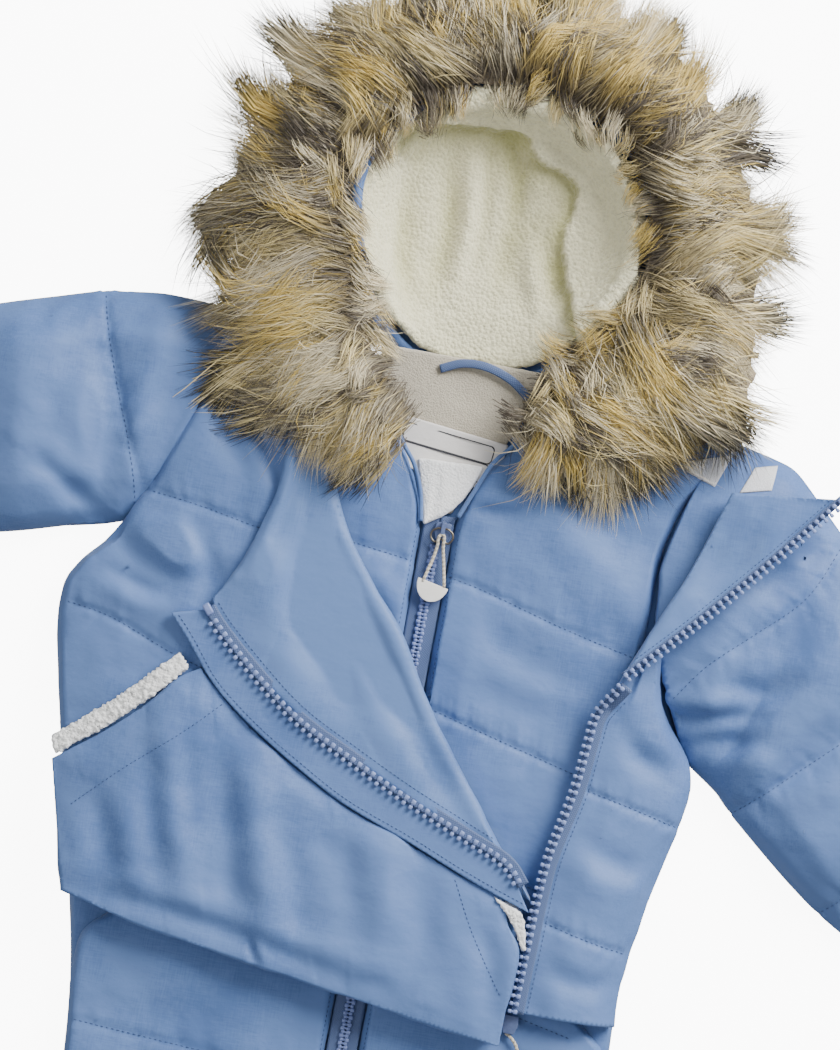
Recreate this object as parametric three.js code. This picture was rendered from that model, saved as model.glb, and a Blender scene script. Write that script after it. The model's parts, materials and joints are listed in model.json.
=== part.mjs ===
// A toddler's padded snowsuit laid flat on its back, with its hood open and its double front unzipped.
// Millimetres. X runs to the viewer's right, Y up to the hood and Z up from the surface it lies on.
// The origin while modelling is the point of the neckline at the centre front.
import * as THREE from 'three';

// Heights of the layers, from the surface up
const gap = 0.3;
const backThick = 9.7;
const innerBase = backThick + gap;
const innerThick = 11.7;
const outerBase = innerBase + innerThick + gap;
const outerThick = 11.7;
const turnedBase = outerBase + outerThick + gap;
const seamThick = 3;

// Quilting and zips
const quiltPitch = 78;
const quiltDepth = 0.42;
const zipCentreX = -2.5;
const zipHalf = 9;
const chainHalf = 2.9;
const tapeThick = 1.6;
const chainThick = 2.2;
const tapeWide = 11;

// The body's length runs from the neckline point at 0 down to the crotch
const crotchY = -395;

// Back panel: half outlines at each height of Y
const backRows = [
  { y: 87, left: -146, right: 158 }, { y: 60, left: -154, right: 157 },
  { y: 24, left: -164, right: 144 }, { y: -23, left: -182, right: 142 },
  { y: -54, left: -199, right: 146.5 }, { y: -72, left: -215, right: 149 },
  { y: -96, left: -217, right: 157 }, { y: -122, left: -213, right: 174 },
  { y: -165, left: -203, right: 171 }, { y: -215, left: -192, right: 161 },
  { y: -262, left: -183, right: 155 }, { y: -300, left: -174, right: 157 },
  { y: -350, left: -168, right: 158 }, { y: crotchY, left: -166, right: 158 },
];

// Inner fronts: the half's side edge and its edge at the neck or the zip
const innerLeftRows = [
  { y: 76, side: -140, middle: -62 }, { y: 43, side: -146, middle: -37.5 },
  { y: 29, side: -148, middle: -26 }, { y: 6, side: -150, middle: -16 },
  { y: -12, side: -150, middle: -12.8 }, { y: -60, side: -150, middle: -12.3 },
  { y: -160, side: -150, middle: -12.3 }, { y: -240, side: -150, middle: -12.3 },
  { y: -262, side: -150, middle: -12.3 }, { y: -272, side: -155, middle: -12.3 },
  { y: -283, side: -169, middle: -12.3 }, { y: -310, side: -171, middle: -12.3 },
  { y: -350, side: -167, middle: -12.3 }, { y: crotchY, side: -165, middle: -12.3 },
];
const innerRightRows = [
  { y: 74, middle: 45, side: 156 }, { y: 52, middle: 37, side: 152 },
  { y: 34, middle: 22, side: 142 }, { y: 15, middle: 13.8, side: 136 },
  { y: 0, middle: 7.6, side: 133 }, { y: -30, middle: 7.5, side: 132 },
  { y: -60, middle: 7.2, side: 132 }, { y: -160, middle: 7.2, side: 132 },
  { y: -240, middle: 7.2, side: 132 }, { y: -282, middle: 7.2, side: 132 },
  { y: -292, middle: 7.2, side: 143 }, { y: -304, middle: 7.2, side: 156 },
  { y: -350, middle: 7.2, side: 157 }, { y: crotchY, middle: 7.2, side: 157 },
];

// The wide outer panel closes over the front. Its free side is folded over along this line.
const foldLine = [
  { x: -73, y: 18 }, { x: -55, y: -20 }, { x: -30, y: -54 }, { x: -10, y: -81 }, { x: 11, y: -114 },
  { x: 37, y: -148 }, { x: 71, y: -192 }, { x: 93, y: -219 },
];
const outerSide = [
  { x: -148, y: 92 }, { x: -155, y: 56 }, { x: -164, y: 24 }, { x: -182, y: -23 },
  { x: -199, y: -54 }, { x: -216, y: -72 }, { x: -219, y: -98 }, { x: -212, y: -135 },
  { x: -203, y: -172 }, { x: -193, y: -215 }, { x: -183, y: -262 },
];
const outerZip = [
  { x: -130, y: -81 }, { x: -122, y: -90 }, { x: -96, y: -113 }, { x: -65, y: -136 }, { x: -27, y: -155 },
  { x: 10, y: -172 }, { x: 44, y: -186 }, { x: 74, y: -199 }, { x: 84, y: -210 },
];
const turnedNeck = [{ x: -101, y: 36 }, { x: -100, y: 2 }, { x: -107, y: -26 }, { x: -115, y: -54 }];
const stormEdge = [
  { x: -150, y: -87 }, { x: -137, y: -101 }, { x: -119, y: -123 }, { x: -102, y: -137 },
  { x: -83, y: -150 }, { x: -61, y: -163 }, { x: -29, y: -180 }, { x: 15, y: -196 },
  { x: 45, y: -208 }, { x: 73, y: -218 }, { x: 92, y: -224 },
];

// Pouch pocket: its left mouth, the stretch under the storm flap, its right mouth and its hem
const mouthLeft = [{ x: -205, y: -186 }, { x: -171, y: -159 }, { x: -146, y: -134 }, { x: -130, y: -115 }];
const mouthRight = [{ x: 79, y: -230 }, { x: 90, y: -246 }];
const hemLine = [
  { x: -185, y: -262 }, { x: -138, y: -273 }, { x: -81, y: -282 }, { x: -12, y: -292 }, { x: 35, y: -299 },
  { x: 89, y: -306 },
];

// Right outer panel: its zip edge, its side seam and its turned back lapel
const sideZip = [
  { x: 119, y: -85 }, { x: 110, y: -100 }, { x: 108, y: -116 }, { x: 105, y: -147 }, { x: 97, y: -189 },
  { x: 95, y: -215 }, { x: 94, y: -250 }, { x: 93, y: -285 },
];
const sideSeam = [
  { x: 144, y: -60 }, { x: 149, y: -88 }, { x: 156, y: -100 }, { x: 174, y: -124 }, { x: 171, y: -165 },
  { x: 161, y: -215 }, { x: 155, y: -262 }, { x: 156, y: -284 },
];
const lapelFold = [{ x: 166, y: 44 }, { x: 148, y: -12 }, { x: 127, y: -62 }, { x: 119, y: -83 }];
const lapelZip = [{ x: 232, y: 52 }, { x: 197, y: 8 }, { x: 158, y: -38 }, { x: 123, y: -76 }];

// Sleeves and legs: the two edges of each section, its bow at the middle and its height
const sleeveLeftRows = [
  { ax: -153, ay: 100, bx: -195, by: -37.5, bow: 11.2, high: 26 },
  { ax: -190, ay: 101, bx: -199, by: -39, bow: 4, high: 30 },
  { ax: -227, ay: 96, bx: -203, by: -41, bow: 0, high: 22 },
  { ax: -252, ay: 88, bx: -227, by: -49, bow: 0, high: 32 },
  { ax: -275, ay: 81, bx: -250, by: -56, bow: 0, high: 32 },
  { ax: -299, ay: 73, bx: -274, by: -62, bow: 0, high: 22 },
  { ax: -322, ay: 64, bx: -298, by: -65, bow: 0, high: 31 },
  { ax: -344, ay: 56, bx: -322, by: -67, bow: 0, high: 30 },
  { ax: -366, ay: 47, bx: -346, by: -68, bow: 0, high: 21 },
  { ax: -389, ay: 39, bx: -371, by: -67, bow: 0, high: 26 },
  { ax: -408, ay: 32, bx: -392, by: -63, bow: 0, high: 20 },
];
const sleeveRightRows = [
  { ax: 167, ay: 75, bx: 178, by: -121, bow: -30.8, high: 24 },
  { ax: 203, ay: 66, bx: 181, by: -125, bow: -14, high: 30 },
  { ax: 240, ay: 30, bx: 187, by: -130, bow: 0, high: 22 },
  { ax: 260, ay: 2, bx: 192, by: -136, bow: 0, high: 31 },
  { ax: 280, ay: -25, bx: 197, by: -141, bow: 0, high: 31 },
  { ax: 298, ay: -51, bx: 203, by: -147, bow: 0, high: 22 },
  { ax: 315, ay: -74, bx: 222, by: -163, bow: 0, high: 31 },
  { ax: 332, ay: -96, bx: 243, by: -180, bow: 0, high: 30 },
  { ax: 347, ay: -117, bx: 265, by: -196, bow: 0, high: 21 },
  { ax: 359, ay: -135, bx: 285, by: -207, bow: 0, high: 20 },
];
const legRows = [
  { y: crotchY - gap, inner: 1.5, outer: 162, high: 25 }, { y: -418, inner: 7, outer: 162, high: 22 },
  { y: -444, inner: 13, outer: 162, high: 33 }, { y: -470, inner: 19, outer: 161, high: 33 },
  { y: -496, inner: 25, outer: 160, high: 22 }, { y: -522, inner: 30, outer: 158, high: 32 },
  { y: -548, inner: 35, outer: 156, high: 31 }, { y: -574, inner: 39, outer: 153, high: 21 },
  { y: -600, inner: 43, outer: 150, high: 28 }, { y: -622, inner: 47, outer: 146, high: 20 },
];
const legCentreX = -4;
const cuffLong = 34;
const cuffGap = 0.5;
const cuffInset = 7;
const cuffHigh = 15;
const cuffSeam = 2;

// Hood: how far its edge lies from its middle at each angle, then the fur round the face
const hoodMiddle = { x: 0, y: 172 };
const hoodRows = [
  { angle: -90, reach: 83.4 }, { angle: -60, reach: 93 }, { angle: -30, reach: 112 },
  { angle: 0, reach: 120 }, { angle: 30, reach: 120 }, { angle: 60, reach: 116 },
  { angle: 90, reach: 113 }, { angle: 120, reach: 116 }, { angle: 150, reach: 120 },
  { angle: 180, reach: 121 }, { angle: 210, reach: 112 }, { angle: 240, reach: 93 },
];
const furRows = [
  { inX: -40, inY: 61, outX: -52, outY: 15, base: 42, low: 41 },
  { inX: -50, inY: 82, outX: -101, outY: 33, base: 40, low: 40.6 },
  { inX: -61, inY: 102, outX: -132, outY: 64, base: 36, low: 35 },
  { inX: -71, inY: 125, outX: -154, outY: 103, base: 35, low: 34.6 },
  { inX: -83, inY: 158, outX: -171, outY: 150, base: 35, low: 0 },
  { inX: -87, inY: 190, outX: -164, outY: 196, base: 35, low: 0 },
  { inX: -77, inY: 217, outX: -144, outY: 242, base: 35, low: 0 },
  { inX: -55, inY: 237, outX: -106, outY: 292, base: 35, low: 0 },
  { inX: -28, inY: 250, outX: -52, outY: 318, base: 35, low: 0 },
  { inX: 8, inY: 255, outX: 15, outY: 325, base: 35, low: 0 },
  { inX: 40, inY: 250, outX: 75, outY: 312, base: 35, low: 0 },
  { inX: 66, inY: 234, outX: 115, outY: 279, base: 35, low: 0 },
  { inX: 81, inY: 205, outX: 149, outY: 230, base: 35, low: 0 },
  { inX: 85, inY: 175, outX: 163, outY: 177, base: 35, low: 0 },
  { inX: 80, inY: 142, outX: 174, outY: 120, base: 35, low: 0 },
  { inX: 63, inY: 119, outX: 167, outY: 77, base: 32, low: 32 },
  { inX: 50, inY: 103, outX: 136, outY: 55, base: 28, low: 26 },
  { inX: 43, inY: 89, outX: 104, outY: 37, base: 26, low: 23 },
  { inX: 38, inY: 79, outX: 60, outY: 40, base: 25, low: 22.6 },
];
const furHigh = 24;

// Sampling of edges in plan
function smooth(line, count) {
  const points = line.map((point) => new THREE.Vector3(point.x, point.y, 0));
  return new THREE.CatmullRomCurve3(points, false, 'centripetal').getSpacedPoints(count);
}

function smoothRows(rows, xOf, yOf, count) {
  const points = rows.map((row) => new THREE.Vector3(xOf(row), yOf(row), 0));
  const curve = new THREE.CatmullRomCurve3(points, false, 'centripetal');
  return Array.from({ length: count + 1 }, (_, index) => curve.getPoint(index / count));
}

function shifted(points, distance) {
  return points.map((point, index) => {
    const before = points[Math.max(index - 1, 0)];
    const after = points[Math.min(index + 1, points.length - 1)];
    const heading = after.clone().sub(before).normalize();
    return new THREE.Vector3(point.x - heading.y * distance, point.y + heading.x * distance, 0);
  });
}

// Rows of plan points between two edges. A column lies at a share of the width plus some millimetres.
function between(edgeA, edgeB, columns) {
  return edgeA.map((start, row) => {
    const across = edgeB[row].clone().sub(start);
    const width = across.length();
    return columns.map((column) => {
      const step = Math.sign(column.mm) * Math.min(Math.abs(column.mm) / width, column.limit ?? 0.12);
      return start.clone().addScaledVector(across, column.share + step);
    });
  });
}

function evenColumns(count) {
  return Array.from({ length: count + 1 }, (_, index) => ({ share: index / count, mm: 0 }));
}

// One closed solid from its corners and triangles, with the faces turned outward
function solid(corners, triangles) {
  let volume = 0;
  for (const [a, b, c] of triangles) {
    volume += corners[a].dot(corners[b].clone().cross(corners[c]));
  }
  const flat = [];
  for (const [a, b, c] of triangles) {
    for (const index of volume > 0 ? [a, b, c] : [a, c, b]) {
      flat.push(corners[index].x, corners[index].y, corners[index].z);
    }
  }
  const geometry = new THREE.BufferGeometry();
  geometry.setAttribute('position', new THREE.Float32BufferAttribute(flat, 3));
  geometry.computeVertexNormals();
  return geometry;
}

// A pad over rows of plan points, between the heights that two functions give
function pad(grid, top, bottom) {
  const rows = grid.length;
  const columns = grid[0].length;
  const corners = [];
  for (const height of [top, bottom]) {
    grid.forEach((line, row) => line.forEach((point, column) => {
      const z = height(point.x, point.y, column / (columns - 1), row / (rows - 1));
      corners.push(new THREE.Vector3(point.x, point.y, z));
    }));
  }
  const under = rows * columns;
  const at = (row, column) => row * columns + column;
  const triangles = [];
  for (let row = 0; row < rows - 1; row += 1) {
    for (let column = 0; column < columns - 1; column += 1) {
      const [a, b] = [at(row, column), at(row, column + 1)];
      const [c, d] = [at(row + 1, column + 1), at(row + 1, column)];
      triangles.push([a, b, c], [a, c, d]);
      triangles.push([under + a, under + c, under + b], [under + a, under + d, under + c]);
    }
  }
  const rim = [];
  for (let column = 0; column < columns - 1; column += 1) rim.push(at(0, column));
  for (let row = 0; row < rows - 1; row += 1) rim.push(at(row, columns - 1));
  for (let column = columns - 1; column > 0; column -= 1) rim.push(at(rows - 1, column));
  for (let row = rows - 1; row > 0; row -= 1) rim.push(at(row, 0));
  rim.forEach((here, index) => {
    const next = rim[(index + 1) % rim.length];
    triangles.push([here, under + here, under + next], [here, under + next, next]);
  });
  return solid(corners, triangles);
}

// Rings of points joined into one closed wall, either round a hollow or with a cap at each end
function ringWall(rings, closedRound) {
  const size = rings[0].length;
  const corners = rings.flat();
  const triangles = [];
  const last = closedRound ? rings.length : rings.length - 1;
  for (let ring = 0; ring < last; ring += 1) {
    const next = (ring + 1) % rings.length;
    for (let side = 0; side < size; side += 1) {
      const beside = (side + 1) % size;
      const [a, b] = [ring * size + side, ring * size + beside];
      const [c, d] = [next * size + beside, next * size + side];
      triangles.push([a, b, c], [a, c, d]);
    }
  }
  if (!closedRound) {
    const capStart = [];
    const capEnd = [];
    const first = (rings.length - 1) * size;
    const half = size / 2;
    for (let step = 0; step < half - 1; step += 1) {
      const [a, b, c, d] = [step, step + 1, size - 2 - step, size - 1 - step];
      capStart.push([a, c, b], [a, d, c]);
      capEnd.push([first + a, first + b, first + c], [first + a, first + c, first + d]);
    }
    triangles.push(...capStart, ...capEnd);
  }
  return solid(corners, triangles);
}

// Padding: a full middle, thin at its edges, and drawn in along the quilting lines
function crown(share) {
  return 1 - Math.abs(2 * share - 1) ** 5;
}

function quilting(x, y, firstLine, slant) {
  const wave = Math.abs(Math.sin(Math.PI * (y + slant * x - firstLine) / quiltPitch));
  return 1 - quiltDepth * (1 - wave ** 0.6);
}

function easeBetween(low, high, value) {
  const share = Math.min(Math.max((value - low) / (high - low), 0), 1);
  return share * share * (3 - 2 * share);
}

const group = new THREE.Group();

function piece(name, geometry, color, roughness = 0.85, metalness = 0) {
  const mesh = new THREE.Mesh(geometry, new THREE.MeshStandardMaterial({ color, roughness, metalness }));
  mesh.name = name;
  group.add(mesh);
  return mesh;
}

const clothBlue = 0x859dc1;
const facingBlue = 0x86a1c4;
const cuffBlue = 0x7089b3;
const loopBlue = 0x5f7fa6;
const labelWhite = 0xe6e2e0;
const fleeceWhite = 0xf3f1ee;
const tabCream = 0xece7dc;
const tapeBlue = 0x6d87b0;
const chainPale = 0xc9cfe6;
const sherpa = 0xe1dfd2;
const furTaupe = 0x9a8a70;
const patchGrey = 0xc3c4ca;
const cordBeige = 0xd8cfbd;
const wireBrass = 0x9b917f;

const padColumns = [
  { share: 0, mm: 0 }, { share: 0, mm: 4 }, { share: 0.18, mm: 0 }, { share: 0.34, mm: 0 },
  { share: 0.5, mm: 0 }, { share: 0.66, mm: 0 }, { share: 0.82, mm: 0 }, { share: 1, mm: -4 },
  { share: 1, mm: 0 },
];

// Back panel, flat underneath
const backGrid = between(
  smoothRows(backRows, (row) => row.left, (row) => row.y, 20),
  smoothRows(backRows, (row) => row.right, (row) => row.y, 20),
  padColumns,
);
const backRim = 5;
const backFull = 1.6;
const backTop = (x, y, u) => backRim + (backThick - backRim) * Math.min(1, backFull * crown(u));
piece('back_panel', pad(backGrid, backTop, () => 0), clothBlue);

// Inner fronts on either side of the centre zip
function innerFront(name, rows, firstLine, slant) {
  const grid = between(
    smoothRows(rows, (row) => row.side, (row) => row.y, 24),
    smoothRows(rows, (row) => row.middle, (row) => row.y, 24),
    padColumns,
  );
  const top = (x, y, u) => innerBase + seamThick
    + (innerThick - seamThick) * crown(u) * quilting(x, y, firstLine, slant);
  piece(name, pad(grid, top, () => innerBase), clothBlue);
}
const leftQuilt = { first: -28, slant: 0.05 };
const rightQuilt = { first: -34, slant: 0.22 };
innerFront('inner_front_left', innerLeftRows, leftQuilt.first, leftQuilt.slant);
innerFront('inner_front_right', innerRightRows, rightQuilt.first, rightQuilt.slant);

// A flat strip beside a line, from one offset to the other
function strip(name, line, steps, from, to, base, thick, color, roughness) {
  const points = smooth(line, steps);
  const grid = between(shifted(points, from), shifted(points, to), evenColumns(2));
  piece(name, pad(grid, () => base + thick, () => base), color, roughness);
}

// Centre zip: two tapes in the slot between the fronts and the closed chain on them
const tapeBase = 12.5;
const chainBase = tapeBase + tapeThick + gap;
const centreLine = [{ x: zipCentreX, y: -0.5 }, { x: zipCentreX, y: -200 }, { x: zipCentreX, y: crotchY }];
const chainLine = [{ x: zipCentreX, y: -17.5 }, { x: zipCentreX, y: -200 }, { x: zipCentreX, y: crotchY }];
strip('centre_tape_left', centreLine, 8, -gap, -zipHalf, tapeBase, tapeThick, tapeBlue);
strip('centre_tape_right', centreLine, 8, gap, zipHalf, tapeBase, tapeThick, tapeBlue);
strip('centre_chain', chainLine, 8, -chainHalf, chainHalf, chainBase, chainThick, clothBlue, 0.5);

// Fleece at the neck: the facing on the back, the label, the chin guard and the hang loop
const facingRows = [
  { y: 86, left: -57, right: 50 }, { y: 69, left: -50, right: 38 },
  { y: 43, left: -34, right: 26.5 }, { y: 29, left: -23.5, right: 15.5 },
  { y: 10, left: -14.8, right: 7.5 }, { y: 1, left: -12.4, right: 3.5 },
];
const facingGrid = between(
  smoothRows(facingRows, (row) => row.left, (row) => row.y, 10),
  smoothRows(facingRows, (row) => row.right, (row) => row.y, 10),
  evenColumns(6),
);
const facingThick = 3;
const facingTop = innerBase + facingThick;
piece('neck_facing', pad(facingGrid, () => facingTop, () => innerBase), sherpa, 1);

const labelBase = facingTop + gap;
const labelThick = 0.8;
const labelLeft = [{ x: -34, y: 53 }, { x: -22, y: 30 }];
const labelRight = [{ x: 28, y: 46 }, { x: 13, y: 27 }];
const labelGrid = between(smooth(labelLeft, 3), smooth(labelRight, 3), evenColumns(3));
piece('neck_label', pad(labelGrid, () => labelBase + labelThick, () => labelBase), labelWhite, 0.7);

const guardBase = labelBase + labelThick + gap;
const guardRim = 2;
const guardPuff = 2.2;
const guardLeft = [{ x: -22.5, y: 31 }, { x: -17, y: 12 }, { x: -12.5, y: -7 }];
const guardRight = [{ x: 18, y: 33 }, { x: 12, y: 16 }, { x: 3, y: 2.5 }, { x: -11, y: -8 }];
const guardGrid = between(smooth(guardLeft, 8), smooth(guardRight, 8), evenColumns(4));
const guardTop = (x, y, u) => guardBase + guardRim + guardPuff * crown(u);
piece('chin_guard', pad(guardGrid, guardTop, () => guardBase), fleeceWhite, 1);

const loopLine = [{ x: -19, y: 86 }, { x: -6, y: 92 }, { x: 8, y: 92 }, { x: 24, y: 87 }, { x: 37, y: 78 }];
const loopHalf = 2.6;
const loopThick = 1.4;
strip('hang_loop', loopLine, 10, -loopHalf, loopHalf, labelBase, loopThick, loopBlue);

// Outer front, left: the lower layer, thin towards the side seam that it shares with the back
const layerDrop = 12;
const leftRamp = { start: -150, end: -215 };
const rightRamp = { start: 125, end: 165 };
function rampDown(x, ramp) {
  return layerDrop * Math.min(Math.max((x - ramp.start) / (ramp.end - ramp.start), 0), 1);
}
const foldPoints = smooth(foldLine, 24);
const foldClear = 4.2;
const outerFree = [
  { x: -100, y: 90 },
  { x: -86, y: 45 }, ...shifted(foldPoints, -foldClear).filter((_, index) => index % 4 === 0),
  { x: 88, y: -240 }, { x: 88, y: -303 },
];
const outerGrid = between(smooth(outerSide, 22), smooth(outerFree, 22), padColumns);
const outerQuilt = { first: -36, slant: 0.1 };
const outerTop = (x, y, u) => outerBase - rampDown(x, leftRamp) + seamThick
  + (outerThick - seamThick) * crown(u) * quilting(x, y, outerQuilt.first, outerQuilt.slant);
piece('outer_front_left', pad(outerGrid, outerTop, (x) => outerBase - rampDown(x, leftRamp)), clothBlue);

// The part of it that is folded over shows its plain facing
const turnedThick = 5;
const turnedTop = turnedBase + turnedThick;
const zipPoints = smooth(outerZip, 20);
const turnedEdge = [...turnedNeck, ...shifted(zipPoints, 2.4).filter((_, index) => index % 2 === 0)];
const turnedColumns = [
  { share: 0, mm: 0 }, { share: 0, mm: 4.6 }, { share: 0.2, mm: 0 }, { share: 0.45, mm: 0 },
  { share: 0.72, mm: 0 }, { share: 1, mm: 0 },
];
const turnedGrid = between(smooth(foldLine, 26), smooth(turnedEdge, 26), turnedColumns);
const foldBase = outerBase + 4;
const foldDrop = 3;
const turnedOver = (x, y, u) => turnedTop - (u === 0 ? foldDrop : 0);
const turnedUnder = (x, y, u) => (u === 0 ? foldBase : turnedBase);
piece('turned_facing', pad(turnedGrid, turnedOver, turnedUnder), facingBlue);

const zipTapeBase = turnedTop + gap;
const zipChainBase = zipTapeBase + tapeThick + gap;
const teethHalf = 2.2;
strip('outer_zip_tape', outerZip, 16, 0.8, tapeWide, zipTapeBase, tapeThick, tapeBlue);
strip('outer_zip_chain', outerZip, 16, -teethHalf, teethHalf, zipChainBase, chainThick, chainPale, 0.4);
const stormGrid = between(shifted(zipPoints, -0.9), smooth(stormEdge, 20), evenColumns(3));
const stormDrop = 0.4;
piece('storm_flap', pad(stormGrid, () => turnedTop - stormDrop, () => turnedBase), clothBlue);

// Pouch pocket with a trim of sherpa in each mouth
const stormBelow = shifted(smooth(stormEdge, 20), -0.9).filter((point) => point.x > -124 && point.x < 84);
const pouchTopLine = [...mouthLeft, ...stormBelow.filter((_, index) => index % 2 === 0), ...mouthRight];
const pouchGrid = between(smooth(pouchTopLine, 24), smooth(hemLine, 24), evenColumns(9));
const troughPitch = 66;
const troughDepth = 0.25;
const pouchPuff = 5;
const pouchTop = (x, y, u, v) => {
  const troughs = 1 - troughDepth + troughDepth * Math.cos(2 * Math.PI * x / troughPitch);
  const ends = Math.min(1, 6 * v, 6 * (1 - v));
  return turnedBase - rampDown(x, leftRamp) + seamThick + pouchPuff * crown(u) * troughs * ends;
};
piece('pouch_pocket', pad(pouchGrid, pouchTop, (x) => turnedBase - rampDown(x, leftRamp)), clothBlue);

const trimLeftOuter = [
  { x: -207, y: -172 }, { x: -178, y: -147 }, { x: -155, y: -125 }, { x: -141, y: -109 },
];
const trimLeftInner = [
  { x: -204, y: -183 }, { x: -172, y: -157 }, { x: -147, y: -132 }, { x: -134, y: -117 },
];
const trimThick = 4.5;
const trimTop = (x) => turnedBase - rampDown(x, leftRamp) + trimThick;
piece('mouth_trim_left', pad(
  between(smooth(trimLeftOuter, 10), smooth(trimLeftInner, 10), evenColumns(3)),
  trimTop,
  (x) => turnedBase - rampDown(x, leftRamp),
), sherpa, 1);
const trimRightOuter = [{ x: 82, y: -226.5 }, { x: 90, y: -230 }, { x: 92.5, y: -236 }, { x: 92.5, y: -244 }];
const trimRightInner = [{ x: 80, y: -228.5 }, { x: 86, y: -234 }, { x: 90, y: -240 }, { x: 91.5, y: -245 }];
piece('mouth_trim_right', pad(
  between(smooth(trimRightOuter, 6), smooth(trimRightInner, 6), evenColumns(2)),
  () => turnedBase + trimThick,
  () => turnedBase,
), sherpa, 1);

// Outer front, right, with its lapel turned back over the sleeve
const sideEdge = [{ x: 134, y: -46 }, { x: 127, y: -64 }, ...sideZip];
const sideColumns = [
  { share: 0, mm: 0 }, { share: 0, mm: 9, limit: 0.3 }, { share: 0.4, mm: 0 }, { share: 0.62, mm: 0 },
  { share: 0.82, mm: 0 }, { share: 1, mm: 0 },
];
const sideGrid = between(smooth(sideEdge, 24), smooth([{ x: 143, y: -46 }, ...sideSeam], 24), sideColumns);
const sideFlat = 8;
const sideQuilt = { first: -146, slant: 0.25 };
const sideTop = (x, y, u) => {
  const puff = u < 0.25 ? 0 : (outerThick - sideFlat) * quilting(x, y, sideQuilt.first, sideQuilt.slant);
  return outerBase - rampDown(x, rightRamp) + (u === 1 ? seamThick : sideFlat + puff);
};
piece('side_front_right', pad(sideGrid, sideTop, (x) => outerBase - rampDown(x, rightRamp)), clothBlue);
const sideTapeBase = outerBase + sideFlat + gap;
const thinTape = 1.2;
const thinChain = 1.8;
const thinTapeWide = 8;
strip('side_zip_tape', sideZip, 14, 0.4, thinTapeWide, sideTapeBase, thinTape, tapeBlue);
strip('side_zip_chain', sideZip, 14, -0.6, 3, sideTapeBase + thinTape + gap, thinChain, chainPale, 0.4);

const lapelGrid = between(smooth(lapelFold, 12), smooth(lapelZip, 12), [
  { share: 0, mm: 0 }, { share: 0, mm: 5 }, { share: 0.3, mm: 0 }, { share: 0.65, mm: 0 },
  { share: 1, mm: 0 },
]);
const lapelFoldBase = outerBase + sideFlat + gap;
const lapelDrop = 2;
const lapelOver = (x, y, u) => turnedTop - (u === 0 ? lapelDrop : 0);
const lapelUnder = (x, y, u) => (u === 0 ? lapelFoldBase : turnedBase);
piece('lapel_right', pad(lapelGrid, lapelOver, lapelUnder), facingBlue);
strip('lapel_zip_tape', lapelZip, 10, -0.6, -thinTapeWide, zipTapeBase, thinTape, tapeBlue);
strip('lapel_zip_chain', lapelZip, 10, -2, 2, zipTapeBase + thinTape + gap, thinChain, chainPale, 0.4);

// Sleeves, legs and cuffs are flat padded tubes: an outer ring and an inner ring at each section
const tubeTopShares = [0, 0.06, 0.2, 0.4, 0.6, 0.8, 0.94, 1];
const tubeUnderShares = [0.93, 0.7, 0.3, 0.07];
function tube(name, rows, shape, color) {
  const outer = [];
  const inner = [];
  rows.forEach((row) => {
    const start = new THREE.Vector2(row.ax, row.ay);
    const across = new THREE.Vector2(row.bx - row.ax, row.by - row.ay);
    const side = new THREE.Vector2(-across.y, across.x).normalize();
    const inset = shape.inset / across.length();
    const place = (share, z) => {
      const bow = row.bow * 4 * share * (1 - share);
      return new THREE.Vector3(
        start.x + across.x * share + side.x * bow, start.y + across.y * share + side.y * bow, z,
      );
    };
    const overZ = (share) => shape.edge + (row.high - shape.edge) * crown(share);
    const innerShare = (share) => inset + share * (1 - 2 * inset);
    outer.push([
      ...tubeTopShares.map((share) => place(share, overZ(share))),
      ...tubeUnderShares.map((share) => place(share, 0)),
    ]);
    const innerMiddle = (shape.hollowLow + shape.hollowHigh) / 2;
    inner.push([
      ...tubeTopShares.map((share) => place(
        innerShare(share), share === 0 || share === 1 ? innerMiddle : shape.hollowHigh,
      )),
      ...tubeUnderShares.map((share) => place(innerShare(share), shape.hollowLow)),
    ]);
  });
  const size = outer[0].length;
  const corners = [...outer.flat(), ...inner.flat()];
  const under = outer.length * size;
  const triangles = [];
  const skin = (offset, flip) => {
    for (let ring = 0; ring < outer.length - 1; ring += 1) {
      for (let index = 0; index < size; index += 1) {
        const beside = (index + 1) % size;
        const [a, b] = [offset + ring * size + index, offset + ring * size + beside];
        const [c, d] = [b + size, a + size];
        triangles.push(flip ? [a, c, b] : [a, b, c], flip ? [a, d, c] : [a, c, d]);
      }
    }
  };
  skin(0, false);
  skin(under, true);
  for (const [ring, flip] of [[0, true], [outer.length - 1, false]]) {
    for (let index = 0; index < size; index += 1) {
      const beside = (index + 1) % size;
      const [a, b] = [ring * size + index, ring * size + beside];
      const [c, d] = [under + b, under + a];
      triangles.push(flip ? [a, c, b] : [a, b, c], flip ? [a, d, c] : [a, c, d]);
    }
  }
  piece(name, solid(corners, triangles), color);
}

const padShape = { edge: 6, inset: 13, hollowLow: 9, hollowHigh: 12 };
const cuffShape = { edge: 4, inset: 9, hollowLow: 4.5, hollowHigh: 7 };

// A cuff goes on from a tube's last section, drawn in on both sides
function cuffRows(rows) {
  const [before, end] = rows.slice(-2);
  const middle = (row) => new THREE.Vector2((row.ax + row.bx) / 2, (row.ay + row.by) / 2);
  const heading = middle(end).sub(middle(before)).normalize();
  const across = new THREE.Vector2(end.bx - end.ax, end.by - end.ay).normalize();
  return [0, 0.35, 0.7, 1].map((share) => {
    const step = cuffGap + cuffLong * share;
    const inset = cuffInset * (0.6 + 0.4 * share);
    return {
      ax: end.ax + heading.x * step + across.x * inset, ay: end.ay + heading.y * step + across.y * inset,
      bx: end.bx + heading.x * step - across.x * inset, by: end.by + heading.y * step - across.y * inset,
      bow: 0, high: cuffHigh + (share === 0 ? cuffSeam : 0),
    };
  });
}

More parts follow.
